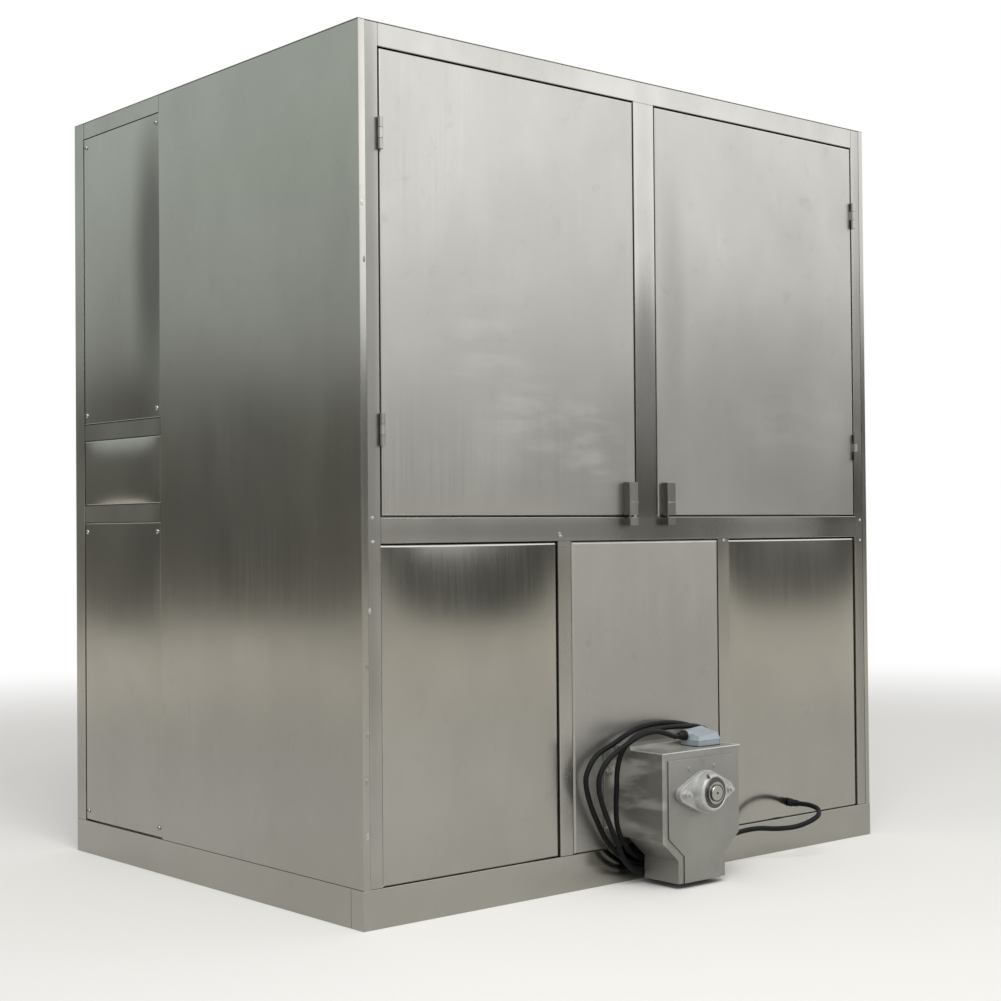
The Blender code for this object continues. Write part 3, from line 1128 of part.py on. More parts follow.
def cable_route():
    """The cable from the switch box, twice round the outlet box as spare, and to the right-hand gland."""
    return [
        (0.030, -0.7525, 0.358), (0.002, -0.7525, 0.358), (-0.030, -0.753, 0.368), (-0.070, -0.753, 0.376),
        (-0.110, -0.748, 0.370), (-0.152, -0.739, 0.350), (-0.196, -0.730, 0.323), (-0.225, -0.724, 0.288),
        (-0.230, -0.722, 0.250), (-0.216, -0.720, 0.207), (-0.192, -0.718, 0.160), (-0.164, -0.715, 0.110),
        (-0.134, -0.710, 0.063), (-0.097, -0.7055, 0.036), (-0.050, -0.7055, 0.026), (0.005, -0.7055, 0.026),
        (0.060, -0.7055, 0.030), (0.115, -0.7055, 0.046), (0.158, -0.706, 0.082), (0.183, -0.708, 0.132),
        (0.192, -0.710, 0.190), (0.193, -0.712, 0.250), (0.184, -0.716, 0.312), (0.160, -0.720, 0.354),
        (0.110, -0.7235, 0.372), (0.060, -0.7245, 0.376), (0.010, -0.726, 0.378), (-0.049, -0.728, 0.376),
        (-0.106, -0.724, 0.364), (-0.144, -0.718, 0.334), (-0.157, -0.712, 0.292), (-0.157, -0.708, 0.245),
        (-0.156, -0.704, 0.195), (-0.148, -0.700, 0.148), (-0.126, -0.697, 0.106), (-0.092, -0.694, 0.074),
        (-0.045, -0.693, 0.055), (0.010, -0.693, 0.050), (0.065, -0.693, 0.052), (0.115, -0.693, 0.062),
        (0.155, -0.693, 0.096), (0.174, -0.693, 0.146), (0.179, -0.693, 0.205), (0.180, -0.693, 0.262),
        (0.172, -0.693, 0.318), (0.146, -0.692, 0.358), (0.095, -0.690, 0.377), (0.035, -0.689, 0.384),
        (-0.020, -0.688, 0.383), (-0.082, -0.687, 0.372), (-0.144, -0.686, 0.347), (-0.199, -0.686, 0.325),
        (-0.231, -0.688, 0.294), (-0.241, -0.688, 0.260), (-0.226, -0.688, 0.207), (-0.202, -0.687, 0.161),
        (-0.171, -0.686, 0.113), (-0.123, -0.684, 0.068), (-0.075, -0.682, 0.043), (-0.015, -0.681, 0.034),
        (0.045, -0.681, 0.034), (0.115, -0.682, 0.041), (0.190, -0.687, 0.058), (0.280, -0.697, 0.078),
        (0.342, -0.716, 0.086), (0.393, -0.742, 0.083), (0.436, -0.768, 0.086), (0.468, -0.787, 0.097),
        (0.502, -0.791, 0.110), (0.528, -0.771, 0.122),
        (GLAND_X, FRONT_Y - 2 * SEAT - GLAND_LENGTH - CABLE_RADIUS * 6, GLAND_Z),
        (GLAND_X, FRONT_Y - 2 * SEAT - GLAND_LENGTH, GLAND_Z),
    ]


def make_cable(rubber):
    neck = GLAND_RADIUS * 0.85
    gland = turned([(0, GLAND_RADIUS), (GLAND_HEX, GLAND_RADIUS), (GLAND_HEX + SHEET, neck),
                    (GLAND_LENGTH * 0.7, neck), (GLAND_LENGTH, CABLE_RADIUS * 1.2)],
                   (GLAND_X, FRONT_Y - SEAT, GLAND_Z), (0, -1, 0), 12)
    piece("cable_gland", rubber, gland)
    tube("outlet_cable", rubber, smooth_points(cable_route(), CABLE_RADIUS * CABLE_SPACING), CABLE_RADIUS, 2)


def clear_scene():
    for item in list(bpy.data.objects):
        bpy.data.objects.remove(item)


def build():
    clear_scene()
    steel = material("stainless", (0.62, 0.62, 0.60), 0.22, 1.0)
    mirror = material("polished_stainless", (0.68, 0.68, 0.66), 0.10, 1.0)
    matte = material("matte_stainless", (0.60, 0.60, 0.58), 0.35, 1.0)
    liner = material("white_liner", (0.80, 0.80, 0.78), 0.45, 0.0)
    copper = material("copper", (0.72, 0.40, 0.25), 0.35, 1.0)
    cast = material("silver_paint", (0.60, 0.60, 0.59), 0.5, 0.3)
    painted = material("grey_paint", (0.25, 0.27, 0.28), 0.5, 0.0)
    black = material("black_paint", (0.03, 0.03, 0.03), 0.5, 0.0)
    rubber = material("black_rubber", (0.02, 0.02, 0.02), 0.55, 0.0)
    plastic = material("grey_plastic", (0.52, 0.57, 0.60), 0.45, 0.0)
    brass = material("brass", (0.70, 0.55, 0.28), 0.35, 1.0)

    make_base(mirror)
    make_front_frame(mirror)
    make_rear_frame(mirror)
    make_side_frame("left_side_frame", -1, mirror)
    make_side_frame("right_side_frame", 1, mirror)
    make_panels(steel, matte)
    make_floor_and_bulkhead(steel, liner)
    for word, side in (("left", -1), ("right", 1)):
        make_door(word, side, steel)
        make_hinge_leaves(word, side, mirror)
        make_latch(word, side, mirror)
        make_keeper(word, side, mirror)
    make_outlet(matte)
    make_bearing(cast, mirror)
    make_flight(steel)
    make_trough(steel)
    make_drive(painted)
    make_tank(steel)
    make_slide(steel)
    make_evaporators(copper, steel)
    make_header(liner)
    make_manifold(copper)
    make_pump(plastic)
    make_float(brass, plastic)
    make_compressor(black)
    make_condenser(black)
    make_refrigerant_lines(copper)
    make_electric_box(plastic)
    make_switch_box(plastic)
    make_cable(rubber)


build()
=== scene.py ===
"""Looks of the industrial cube ice maker: steel finishes, pillowed sheets, the cable and small hardware.

Lengths are metres in the part's own frame: +Z up, +X to the right along the front, +Y to the rear.
"""
import json
import math

import bmesh
import bpy
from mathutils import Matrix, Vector, noise


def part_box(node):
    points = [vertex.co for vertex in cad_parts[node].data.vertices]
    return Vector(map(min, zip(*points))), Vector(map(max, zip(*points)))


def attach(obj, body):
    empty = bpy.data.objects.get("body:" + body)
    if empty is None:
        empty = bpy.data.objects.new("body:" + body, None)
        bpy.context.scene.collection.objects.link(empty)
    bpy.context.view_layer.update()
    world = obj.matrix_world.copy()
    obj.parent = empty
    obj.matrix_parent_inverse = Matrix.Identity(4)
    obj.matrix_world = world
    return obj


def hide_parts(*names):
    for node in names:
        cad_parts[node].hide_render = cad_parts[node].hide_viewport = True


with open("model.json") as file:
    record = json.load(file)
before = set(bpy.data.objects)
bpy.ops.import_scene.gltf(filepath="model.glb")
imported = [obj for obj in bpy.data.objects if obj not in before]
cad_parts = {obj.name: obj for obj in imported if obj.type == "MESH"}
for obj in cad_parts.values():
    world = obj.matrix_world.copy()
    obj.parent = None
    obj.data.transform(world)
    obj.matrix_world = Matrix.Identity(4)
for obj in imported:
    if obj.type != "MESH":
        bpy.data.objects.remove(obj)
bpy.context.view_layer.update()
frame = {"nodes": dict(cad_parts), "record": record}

nodes = frame["nodes"]
SLOTS = {part["node"]: part["material_slot"] for part in frame["record"]["subparts"]}
CABINET = "cabinet"
SIDES = (("left", -1), ("right", 1))
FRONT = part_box("front_frame")[0][1]  # the frame's front face
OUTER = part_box("rear_frame")[1][0]  # the side sheets' outer faces, from the middle

# Camera of the photograph
PHOTO_WIDTH = 1001
FOCAL_PIXELS = 1739.98
SENSOR = 36.0
CAMERA_PLACE = (-3.1297, -3.7452, 0.8748)
CAMERA_TURN = (90.9307, 0.4780, -40.6446)  # degrees about X, Y and Z

# Floor and lamp
WHITE = (1.0, 1.0, 1.0)
FLOOR_RADIUS = 18.0
FLOOR_SIDES = 96
FLOOR_CENTRE = (3.5, -4.1, 0.0)
FLOOR_COLOUR = (0.86, 0.85, 0.82, 1.0)
FLOOR_ROUGHNESS = 0.9
FLOOR_FADE = (3.0, 7.0)  # distances from the object over which the floor turns to its plain tone
FLOOR_REFLECTED = (0.98, 0.94, 0.85)  # its plain tone for every ray but the camera's
KEY_PLACE = (-2.6, -4.6, 6.2)
KEY_TARGET = (0, 0, 0.8)
KEY_SIZE = 4.5
KEY_POWER = 330.0

# World: the light on matte surfaces, and the studio that glossy and transmission rays see
MATTE_LIGHT = (0.62, 0.62, 0.62)
FRONT_WAY = (0.65, -0.76, 0.0)  # the middle of the front sky
FRONT_BLEND = (-0.9, 0.9)
FRONT_SKY = (2.58, 2.60, 2.64)
BRIGHT_WAY = (0.55, -0.835, 0.0)  # the front sky is brightest here
BRIGHT_BLEND = (0.92, 0.995)
DIM_SHARE = 0.74  # what is left of the front sky away from there
SIDE_SKY_LOW = (0.60, 0.64, 0.62)
SIDE_SKY_HIGH = (0.83, 0.93, 0.88)
SIDE_SKY_RISE = (0.08, 0.28)
FRONT_WALL = (0.11, 0.11, 0.10)
SIDE_WALL = (0.18, 0.175, 0.155)
WALL_TOP = (0.085, 0.115)  # height of the dark wall at the side and at the front
WALL_EDGE = 0.035
SHAPE_WAY = (-0.529, 0.849, 0.013)  # a round dark shape that the left side panel reflects
SHAPE_SIZE = (0.045, 0.045, 0.075)
SHAPE_EDGE = (0.75, 1.25)
SHAPE_SHARE = 0.75
SHAPE_COLOUR = (0.10, 0.10, 0.09)


# Node trees
def tree_of(name):
    finish = bpy.data.materials.new(name)
    finish.use_nodes = True
    return finish, finish.node_tree, finish.node_tree.nodes["Principled BSDF"]


def put(tree, kind, **settings):
    item = tree.nodes.new("ShaderNode" + kind)
    for name, value in settings.items():
        setattr(item, name, value)
    return item


def join(tree, source, target):
    tree.links.new(source, target)


def noise_value(tree, scale, stretch=(1, 1, 1), detail=4.0, roughness=0.55, offset=(0, 0, 0), warp=0.0):
    """A noise in the part's own coordinates, stretched along its axes."""
    place = put(tree, "TexCoord")
    mapping = put(tree, "Mapping")
    mapping.inputs["Scale"].default_value = stretch
    mapping.inputs["Location"].default_value = offset
    join(tree, place.outputs["Object"], mapping.inputs["Vector"])
    cloud = put(tree, "TexNoise")
    cloud.inputs["Scale"].default_value = scale
    cloud.inputs["Detail"].default_value = detail
    cloud.inputs["Roughness"].default_value = roughness
    cloud.inputs["Distortion"].default_value = warp
    join(tree, mapping.outputs["Vector"], cloud.inputs["Vector"])
    return cloud.outputs["Fac"]


def spread(tree, value, low, high, start=0.35, end=0.65, kind="SMOOTHSTEP"):
    """Maps a value's range from start to end onto low to high."""
    item = put(tree, "MapRange", interpolation_type=kind)
    item.inputs["From Min"].default_value = start
    item.inputs["From Max"].default_value = end
    item.inputs["To Min"].default_value = low
    item.inputs["To Max"].default_value = high
    join(tree, value, item.inputs["Value"])
    return item.outputs["Result"]


def combine(tree, operation, first, second):
    item = put(tree, "Math", operation=operation)
    for socket, value in zip(item.inputs, (first, second)):
        if isinstance(value, (int, float)):
            socket.default_value = value
        else:
            join(tree, value, socket)
    return item.outputs["Value"]


def measured(tree, operation, vector, other=(0, 0, 0), result="Value"):
    """A vector operation between a socket and a fixed vector."""
    item = put(tree, "VectorMath", operation=operation)
    item.inputs[1].default_value = other
    join(tree, vector, item.inputs[0])
    return item.outputs[result]


def mixed(tree, factor, first, second):
    """A colour between two others, each a colour or a socket."""
    # Inputs 6 and 7 and output 2 are the node's colours.
    item = put(tree, "Mix", data_type="RGBA")
    for socket, value in ((item.inputs[0], factor), (item.inputs[6], first), (item.inputs[7], second)):
        if isinstance(value, (int, float)):
            socket.default_value = value
        elif isinstance(value, tuple):
            socket.default_value = (*value, 1.0)
        else:
            join(tree, value, socket)
    return item.outputs[2]


def bumped(tree, shader, height, strength, distance):
    item = put(tree, "Bump")
    item.inputs["Strength"].default_value = strength
    item.inputs["Distance"].default_value = distance
    join(tree, height, item.inputs["Height"])
    join(tree, item.outputs["Normal"], shader.inputs["Normal"])


def spot(tree, centre, size):
    """A soft spot: 1 at a centre in the part's coordinates, falling to 0 at the size given for each axis."""
    place = put(tree, "TexCoord")
    mapping = put(tree, "Mapping", vector_type="TEXTURE")
    mapping.inputs["Location"].default_value = centre
    mapping.inputs["Scale"].default_value = size
    join(tree, place.outputs["Object"], mapping.inputs["Vector"])
    ball = put(tree, "TexGradient", gradient_type="SPHERICAL")
    join(tree, mapping.outputs["Vector"], ball.inputs["Vector"])
    return ball.outputs["Fac"]


# Materials
CLOUD_SHARE = 0.65
MOTTLE_SHARE = 0.35
MARK_SHARE = 0.30
MARK_TONE = 0.72
MARK_HAZE = 0.05
LIGHTER = 1.7
DARKER = 0.42
WIPE_HAZE = 0.12
WAVE_DEPTH = 0.02
PAINT_HAZE = 0.08
SKIN_DEPTH = 0.0006


def steel(name, colour, stain, roughness, haze, brush, waves, seed, smudge=0.5, wipes_and_painted_light=()):
    """Stainless sheet: cloudy tone, hazy patches, fine brushing, handling marks, and wipe marks and painted
    reflections, painted shade and painted light laid on its colour.
    """
    finish, tree, shader = tree_of(name)
    shader.inputs["Metallic"].default_value = 1.0
    clouds = noise_value(tree, 1.3, (1, 1, 0.8), detail=3, roughness=0.5, offset=(seed, seed, seed), warp=0.2)
    mottle = noise_value(tree, 7.5, (1, 1, 0.7), detail=4, roughness=0.55, offset=(seed, 0, seed), warp=0.2)
    tone = combine(tree, "ADD", combine(tree, "MULTIPLY", clouds, CLOUD_SHARE),
                   combine(tree, "MULTIPLY", mottle, MOTTLE_SHARE))
    base = mixed(tree, spread(tree, tone, 0.0, 1.0, start=0.33, end=0.67), stain, colour)
    patches = noise_value(tree, 2.4, (1, 1, 0.7), detail=2.5, roughness=0.45, offset=(seed + 7, 0, seed),
                          warp=0.3)
    rough = spread(tree, patches, roughness, roughness + haze, start=0.28, end=0.72)
    streaks = noise_value(tree, 150.0, (1, 1, 0.015), detail=2, roughness=0.5, offset=(0, seed, 0))
    rough = combine(tree, "ADD", rough, spread(tree, streaks, -brush, brush, start=0.3, end=0.7))
    marks = noise_value(tree, 21.0, (1, 1, 0.9), detail=5, roughness=0.6, offset=(seed, 4, seed), warp=0.6)
    marks = combine(tree, "MULTIPLY", spread(tree, marks, 0.0, 1.0, start=0.58, end=0.74), smudge)
    marked = tuple(MARK_TONE * channel for channel in stain)
    base = mixed(tree, combine(tree, "MULTIPLY", marks, MARK_SHARE), base, marked)
    rough = combine(tree, "ADD", rough, combine(tree, "MULTIPLY", marks, MARK_HAZE))
    # Wipe marks and painted light lighten in strokes; painted reflections and painted shade darken.
    for centre, size, strength in wipes_and_painted_light:
        area = spread(tree, spot(tree, centre, size), 0.0, 1.0, start=0.0, end=0.8)
        if strength > 0:
            strokes = noise_value(tree, 6.0, (1, 1, 4.0), detail=3, roughness=0.5, offset=(seed, seed, 3),
                                  warp=0.4)
            area = combine(tree, "MULTIPLY", area, spread(tree, strokes, 0.1, 1.0, start=0.42, end=0.66))
        share = combine(tree, "MULTIPLY", area, abs(strength))
        shift = LIGHTER if strength > 0 else DARKER
        base = mixed(tree, share, base, tuple(min(1.0, channel * shift) for channel in colour))
        rough = combine(tree, "ADD", rough, combine(tree, "MULTIPLY", share, WIPE_HAZE))
    join(tree, base, shader.inputs["Base Color"])
    join(tree, rough, shader.inputs["Roughness"])
    slow = noise_value(tree, 2.3, (1, 1, 0.8), detail=1, roughness=0.3, offset=(seed, 2, seed))
    bumped(tree, shader, slow, waves, WAVE_DEPTH)
    return finish


def paint(name, colour, dark, roughness, metallic=0.0, scale=40.0, bump=0.2, shine=0.5):
    """Paint, cast metal or plastic with a fine uneven skin and slightly varied tone."""
    finish, tree, shader = tree_of(name)
    shader.inputs["Metallic"].default_value = metallic
    shader.inputs["Specular IOR Level"].default_value = shine
    tone = noise_value(tree, scale * 0.3, detail=5, roughness=0.6)
    join(tree, mixed(tree, spread(tree, tone, 0.0, 1.0), dark, colour), shader.inputs["Base Color"])
    join(tree, spread(tree, tone, roughness + PAINT_HAZE, roughness), shader.inputs["Roughness"])
    skin = noise_value(tree, scale * 8, detail=3)
    bumped(tree, shader, skin, bump, SKIN_DEPTH)
    return finish


# Painted reflections, painted shade and painted light laid on the steel's colour, where the real sheets
# reflect something darker or lighter, and wipe marks where they are wiped.
# Each is a centre, its reach by axis and a strength, which lightens in strokes above 0 and darkens below.
# On the doors: the lightening strokes are wipe marks, and the darkenings are painted reflections and painted
# shade.
DOOR_WIPES_AND_PAINTED_REFLECTIONS = (
    ((-0.30, -0.666, 1.12), (0.30, 0.2, 0.16), 0.17),
    ((-0.16, -0.666, 1.03), (0.16, 0.2, 0.10), 0.20),
    ((-0.52, -0.666, 1.30), (0.22, 0.2, 0.20), 0.10),
    ((0.10, -0.666, 1.42), (0.07, 0.2, 0.42), -0.25),
    ((0.55, -0.666, 1.16), (0.30, 0.2, 0.16), 0.11),
    ((-0.74, -0.666, 1.10), (0.12, 0.2, 0.20), -0.21),
    ((0.60, -0.666, 0.98), (0.40, 0.2, 0.12), -0.25),
    ((-0.55, -0.666, 0.96), (0.40, 0.2, 0.10), -0.15),
    ((0.42, -0.666, 1.12), (0.60, 0.2, 0.50), -0.38),
    ((-0.12, -0.666, 1.02), (0.40, 0.2, 0.35), -0.34),
)
# Painted reflections of dark things on the left upper access panel
COLUMN_PAINTED_REFLECTIONS = (
    ((-0.8875, 0.240, 1.60), (0.1, 0.13, 0.48), -1.0),
    ((-0.8875, 0.50, 1.20), (0.1, 0.25, 0.1), -0.2),
)
# Painted reflections on the mullion, both front posts and the middle rail
FRAME_PAINTED_REFLECTIONS = (
    ((0.0, -0.67, 1.24), (0.08, 0.1, 0.36), -0.75),
    ((-0.862, -0.67, 1.30), (0.05, 0.1, 1.3), -0.68),
    ((0.862, -0.67, 1.10), (0.05, 0.1, 1.3), -0.5),
    ((0.0, -0.67, 0.87), (1.6, 0.1, 0.05), -0.85),
    ((0.0, -0.67, 1.60), (0.06, 0.1, 0.60), -0.3),
)
# Painted light, in strokes, on the outlet's left side and top
OUTLET_PAINTED_LIGHT = (
    ((-0.125, -0.72, 0.20), (0.03, 0.2, 0.25), 1.0),
    ((-0.125, -0.70, 0.24), (0.03, 0.2, 0.25), 1.0),
    ((0.0, -0.72, 0.34), (0.2, 0.2, 0.03), 0.9),
)

SHEET_STEEL = dict(colour=(0.375, 0.365, 0.335), stain=(0.335, 0.326, 0.298), roughness=0.15, haze=0.06,
                   brush=0.008, waves=0.08, seed=0.0)
STEELS = {
    # Its colour carries the frame's painted reflections
    "polished_steel": dict(colour=(0.390, 0.380, 0.352), stain=(0.320, 0.312, 0.288), roughness=0.13,
                           haze=0.16, brush=0.006, waves=0.14, seed=3.0, wipes_and_painted_light=FRAME_PAINTED_REFLECTIONS),
    "brushed_steel": SHEET_STEEL,
    # The sheet steel with the painted reflections of the left upper access panel
    "column_steel": dict(SHEET_STEEL, wipes_and_painted_light=COLUMN_PAINTED_REFLECTIONS),
    "panel_steel": dict(SHEET_STEEL, roughness=0.13, haze=0.05, waves=0.05, seed=2.0),
    "door_steel": dict(colour=(0.400, 0.391, 0.365), stain=(0.355, 0.345, 0.320), roughness=0.28, haze=0.07,
                       brush=0.015, waves=0.22, seed=8.0, smudge=0.7, wipes_and_painted_light=DOOR_WIPES_AND_PAINTED_REFLECTIONS),
    "matte_steel": dict(colour=(0.375, 0.365, 0.340), stain=(0.330, 0.320, 0.298), roughness=0.33, haze=0.10,
                        brush=0.02, waves=0.03, seed=5.0, smudge=0.8),
    "outlet_steel": dict(colour=(0.300, 0.294, 0.272), stain=(0.235, 0.228, 0.210), roughness=0.42, haze=0.10,
                         brush=0.02, waves=0.05, seed=6.0, smudge=0.9, wipes_and_painted_light=OUTLET_PAINTED_LIGHT),
    "aged_steel": dict(colour=(0.20, 0.195, 0.18), stain=(0.10, 0.096, 0.088), roughness=0.28, haze=0.14,
                       brush=0.02, waves=0.02, seed=9.0),
}
PAINTS = {
    "bare_weld": dict(colour=(0.52, 0.52, 0.50), dark=(0.22, 0.21, 0.19), roughness=0.26, metallic=1.0,
                      scale=90.0, bump=0.6),
    # Pale strips of painted highlight on the outlet's top edges
    "bare_edge": dict(colour=(0.78, 0.78, 0.76), dark=(0.66, 0.66, 0.64), roughness=0.30, metallic=0.7,
                      scale=120.0, bump=0.3),
    # Near black, for painted shade in narrow gaps, seams, recesses and holes, and for the collar screws
    "dark_gap": dict(colour=(0.02, 0.02, 0.02), dark=(0.012, 0.012, 0.012), roughness=0.7),
    "liner": dict(colour=(0.80, 0.80, 0.78), dark=(0.74, 0.74, 0.71), roughness=0.42),
    "copper": dict(colour=(0.74, 0.42, 0.28), dark=(0.52, 0.27, 0.17), roughness=0.28, metallic=1.0,
                   scale=30.0, bump=0.15),
    "silver_paint": dict(colour=(0.50, 0.50, 0.49), dark=(0.36, 0.36, 0.35), roughness=0.36, metallic=0.45,
                         scale=70.0, bump=0.6),
    "grey_paint": dict(colour=(0.36, 0.37, 0.37), dark=(0.27, 0.28, 0.28), roughness=0.40, metallic=0.65,
                       scale=60.0, bump=0.5),
    "black_paint": dict(colour=(0.035, 0.035, 0.037), dark=(0.02, 0.02, 0.02), roughness=0.38, scale=50.0,
                        bump=0.3),
    "box_paint": dict(colour=(0.70, 0.70, 0.67), dark=(0.63, 0.63, 0.60), roughness=0.42, scale=70.0,
                      bump=0.3),
    "grey_plastic": dict(colour=(0.29, 0.335, 0.36), dark=(0.25, 0.29, 0.32), roughness=0.34, scale=60.0,
                         bump=0.15),
    "white_plastic": dict(colour=(0.78, 0.78, 0.75), dark=(0.70, 0.70, 0.67), roughness=0.35),
    "black_plastic": dict(colour=(0.012, 0.012, 0.013), dark=(0.008, 0.008, 0.008), roughness=0.45,
                          shine=0.15),
    "cable_rubber": dict(colour=(0.008, 0.008, 0.009), dark=(0.005, 0.005, 0.005), roughness=0.46, scale=55.0,
                         bump=0.25, shine=0.12),
    "brass": dict(colour=(0.72, 0.57, 0.30), dark=(0.55, 0.42, 0.20), roughness=0.30, metallic=1.0,
                  scale=40.0, bump=0.1),
}
looks = {name: steel(name, **values) for name, values in STEELS.items()}
looks.update((name, paint(name, **values)) for name, values in PAINTS.items())

# CAD nodes whose look isn't that of their own slot
NODE_LOOKS = {
    "left_door": "door_steel", "right_door": "door_steel", "outlet_body": "outlet_steel",
    "outlet_front_plate": "outlet_steel", "base_frame": "brushed_steel", "left_latch_plate": "aged_steel",
    "right_latch_plate": "aged_steel", "left_latch_keeper": "aged_steel", "right_latch_keeper": "aged_steel",
}
# CAD nodes whose edges are rounded: the radius and the segments
SOFT_EDGES = (
    ("front_frame", 0.0020, 3), ("bearing_housing", 0.0012, 2), ("switch_box", 0.0016, 3),
    ("rear_frame", 0.0009, 2), ("base_frame", 0.0009, 2), ("outlet_body", 0.0009, 2),
    ("outlet_front_plate", 0.0009, 2), ("roof_panel", 0.0009, 2),
)
SHARP_ANGLE = 35.0
WELD_DISTANCE = 0.00001


def dress_nodes():
    for node, slot in SLOTS.items():
        mesh = nodes[node].data
        mesh.materials.clear()
        mesh.materials.append(looks[NODE_LOOKS.get(node, slot)])


def soften(name, width, segments):
    """Rounds the sharp edges of a CAD node a little, so that they catch the light."""
    item = nodes[name]
    custom = item.data.attributes.get("custom_normal")
    if custom is not None:
        item.data.attributes.remove(custom)
    item.data.shade_smooth()
    weld = item.modifiers.new("weld", "WELD")
    weld.merge_threshold = WELD_DISTANCE
    bevel = item.modifiers.new("bevel", "BEVEL")
    bevel.width = width
    bevel.segments = segments
    bevel.limit_method = "ANGLE"
    bevel.angle_limit = math.radians(SHARP_ANGLE)
    bevel.use_clamp_overlap = True
    weighted = item.modifiers.new("weighted", "WEIGHTED_NORMAL")
    weighted.weight = 100
    weighted.keep_sharp = False


# Mesh pieces
def finished(name, shape, look, body, angle=SHARP_ANGLE):
    """A piece from a bmesh, with faces out and shading sharp past an angle."""
    bmesh.ops.recalc_face_normals(shape, faces=shape.faces)
    mesh = bpy.data.meshes.new(name)
    shape.to_mesh(mesh)
    shape.free()
    mesh.shade_smooth()
    mesh.set_sharp_from_angle(angle=math.radians(angle))
    item = bpy.data.objects.new(name, mesh)
    bpy.context.scene.collection.objects.link(item)
    mesh.materials.append(looks[look])
    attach(item, body)
    return item


def block(low, high):
    shape = bmesh.new()
    bmesh.ops.create_cube(shape, size=1.0)
    for vertex in shape.verts:
        for axis in range(3):
            vertex.co[axis] = low[axis] if vertex.co[axis] < 0 else high[axis]
    return shape


def rounded(low, high, radius):
    """A block whose four upright edges are rounded."""
    shape = block(low, high)
    edges = [edge for edge in shape.edges if abs((edge.verts[0].co - edge.verts[1].co).z) > WELD_DISTANCE]
    bmesh.ops.bevel(shape, geom=edges, offset=radius, segments=4, profile=0.5, affect="EDGES")
    return shape


def merged(shapes):
    """One bmesh that holds several."""
    whole = bmesh.new()
    for shape in shapes:
        mesh = bpy.data.meshes.new("part")
        shape.to_mesh(mesh)
        shape.free()
        whole.from_mesh(mesh)
        bpy.data.meshes.remove(mesh)
    return whole


def axes_round(direction):
    """A unit direction and two unit directions across it."""
    direction = Vector(direction).normalized()
    across = direction.orthogonal().normalized()
    return direction, across, direction.cross(across)


def turned(profile, start, direction, sides):
    """A solid of revolution: profile holds (distance along, radius) from one end to the other."""
    direction, across, other = axes_round(direction)
    shape = bmesh.new()
    rings = []
    for distance, radius in profile:
        ring = []
        for step in range(sides):
            angle = math.tau * step / sides
            offset = (across * math.cos(angle) + other * math.sin(angle)) * radius
            ring.append(shape.verts.new(Vector(start) + direction * distance + offset))
        rings.append(ring)
    for ring, following in zip(rings, rings[1:]):
        for step in range(sides):
            after = (step + 1) % sides
            shape.faces.new((ring[step], ring[after], following[after], following[step]))
    shape.faces.new(rings[0])
    shape.faces.new(rings[-1])
    return shape


def lathed(section, centre, direction, sides=48):
    """A ring: a closed section of (distance along, radius) pairs, swept round an axis."""
    direction, across, other = axes_round(direction)
    shape = bmesh.new()
    rings = []
    for step in range(sides):
        angle = math.tau * step / sides
        out = across * math.cos(angle) + other * math.sin(angle)
        rings.append([shape.verts.new(Vector(centre) + direction * distance + out * radius)
                      for distance, radius in section])
    for step in range(sides):
        ring, following = rings[step], rings[(step + 1) % sides]
        for corner in range(len(section)):
            after = (corner + 1) % len(section)
            shape.faces.new((ring[corner], ring[after], following[after], following[corner]))
    return shape


# Camera and stage
def make_camera():
    data = bpy.data.cameras.new("camera")
    data.sensor_width = SENSOR
    data.lens = FOCAL_PIXELS / PHOTO_WIDTH * SENSOR
    camera = bpy.data.objects.new("camera", data)
    camera.location = CAMERA_PLACE
    camera.rotation_euler = [math.radians(angle) for angle in CAMERA_TURN]
    bpy.context.scene.collection.objects.link(camera)
    bpy.context.scene.camera = camera


def make_floor():
    """A pale floor that turns plain away from the object: white to the camera, warmer to other rays."""
    shape = bmesh.new()
    bmesh.ops.create_circle(shape, cap_ends=True, segments=FLOOR_SIDES, radius=FLOOR_RADIUS)
    mesh = bpy.data.meshes.new("floor")
    shape.to_mesh(mesh)
    shape.free()
    floor = bpy.data.objects.new("floor", mesh)
    floor.location = FLOOR_CENTRE
    bpy.context.scene.collection.objects.link(floor)
    finish, tree, shader = tree_of("pale_floor")
    shader.inputs["Base Color"].default_value = FLOOR_COLOUR
    shader.inputs["Roughness"].default_value = FLOOR_ROUGHNESS
    shader.inputs["Specular IOR Level"].default_value = 0.0
    distance = measured(tree, "LENGTH", put(tree, "NewGeometry").outputs["Position"])
    plain = put(tree, "Emission")
    seen = put(tree, "LightPath").outputs["Is Camera Ray"]
    join(tree, mixed(tree, seen, FLOOR_REFLECTED, WHITE), plain.inputs["Color"])
    both = put(tree, "MixShader")
    join(tree, spread(tree, distance, 0.0, 1.0, *FLOOR_FADE), both.inputs[0])
    join(tree, shader.outputs[0], both.inputs[1])
    join(tree, plain.outputs[0], both.inputs[2])
    join(tree, both.outputs[0], tree.nodes["Material Output"].inputs["Surface"])
    mesh.materials.append(finish)


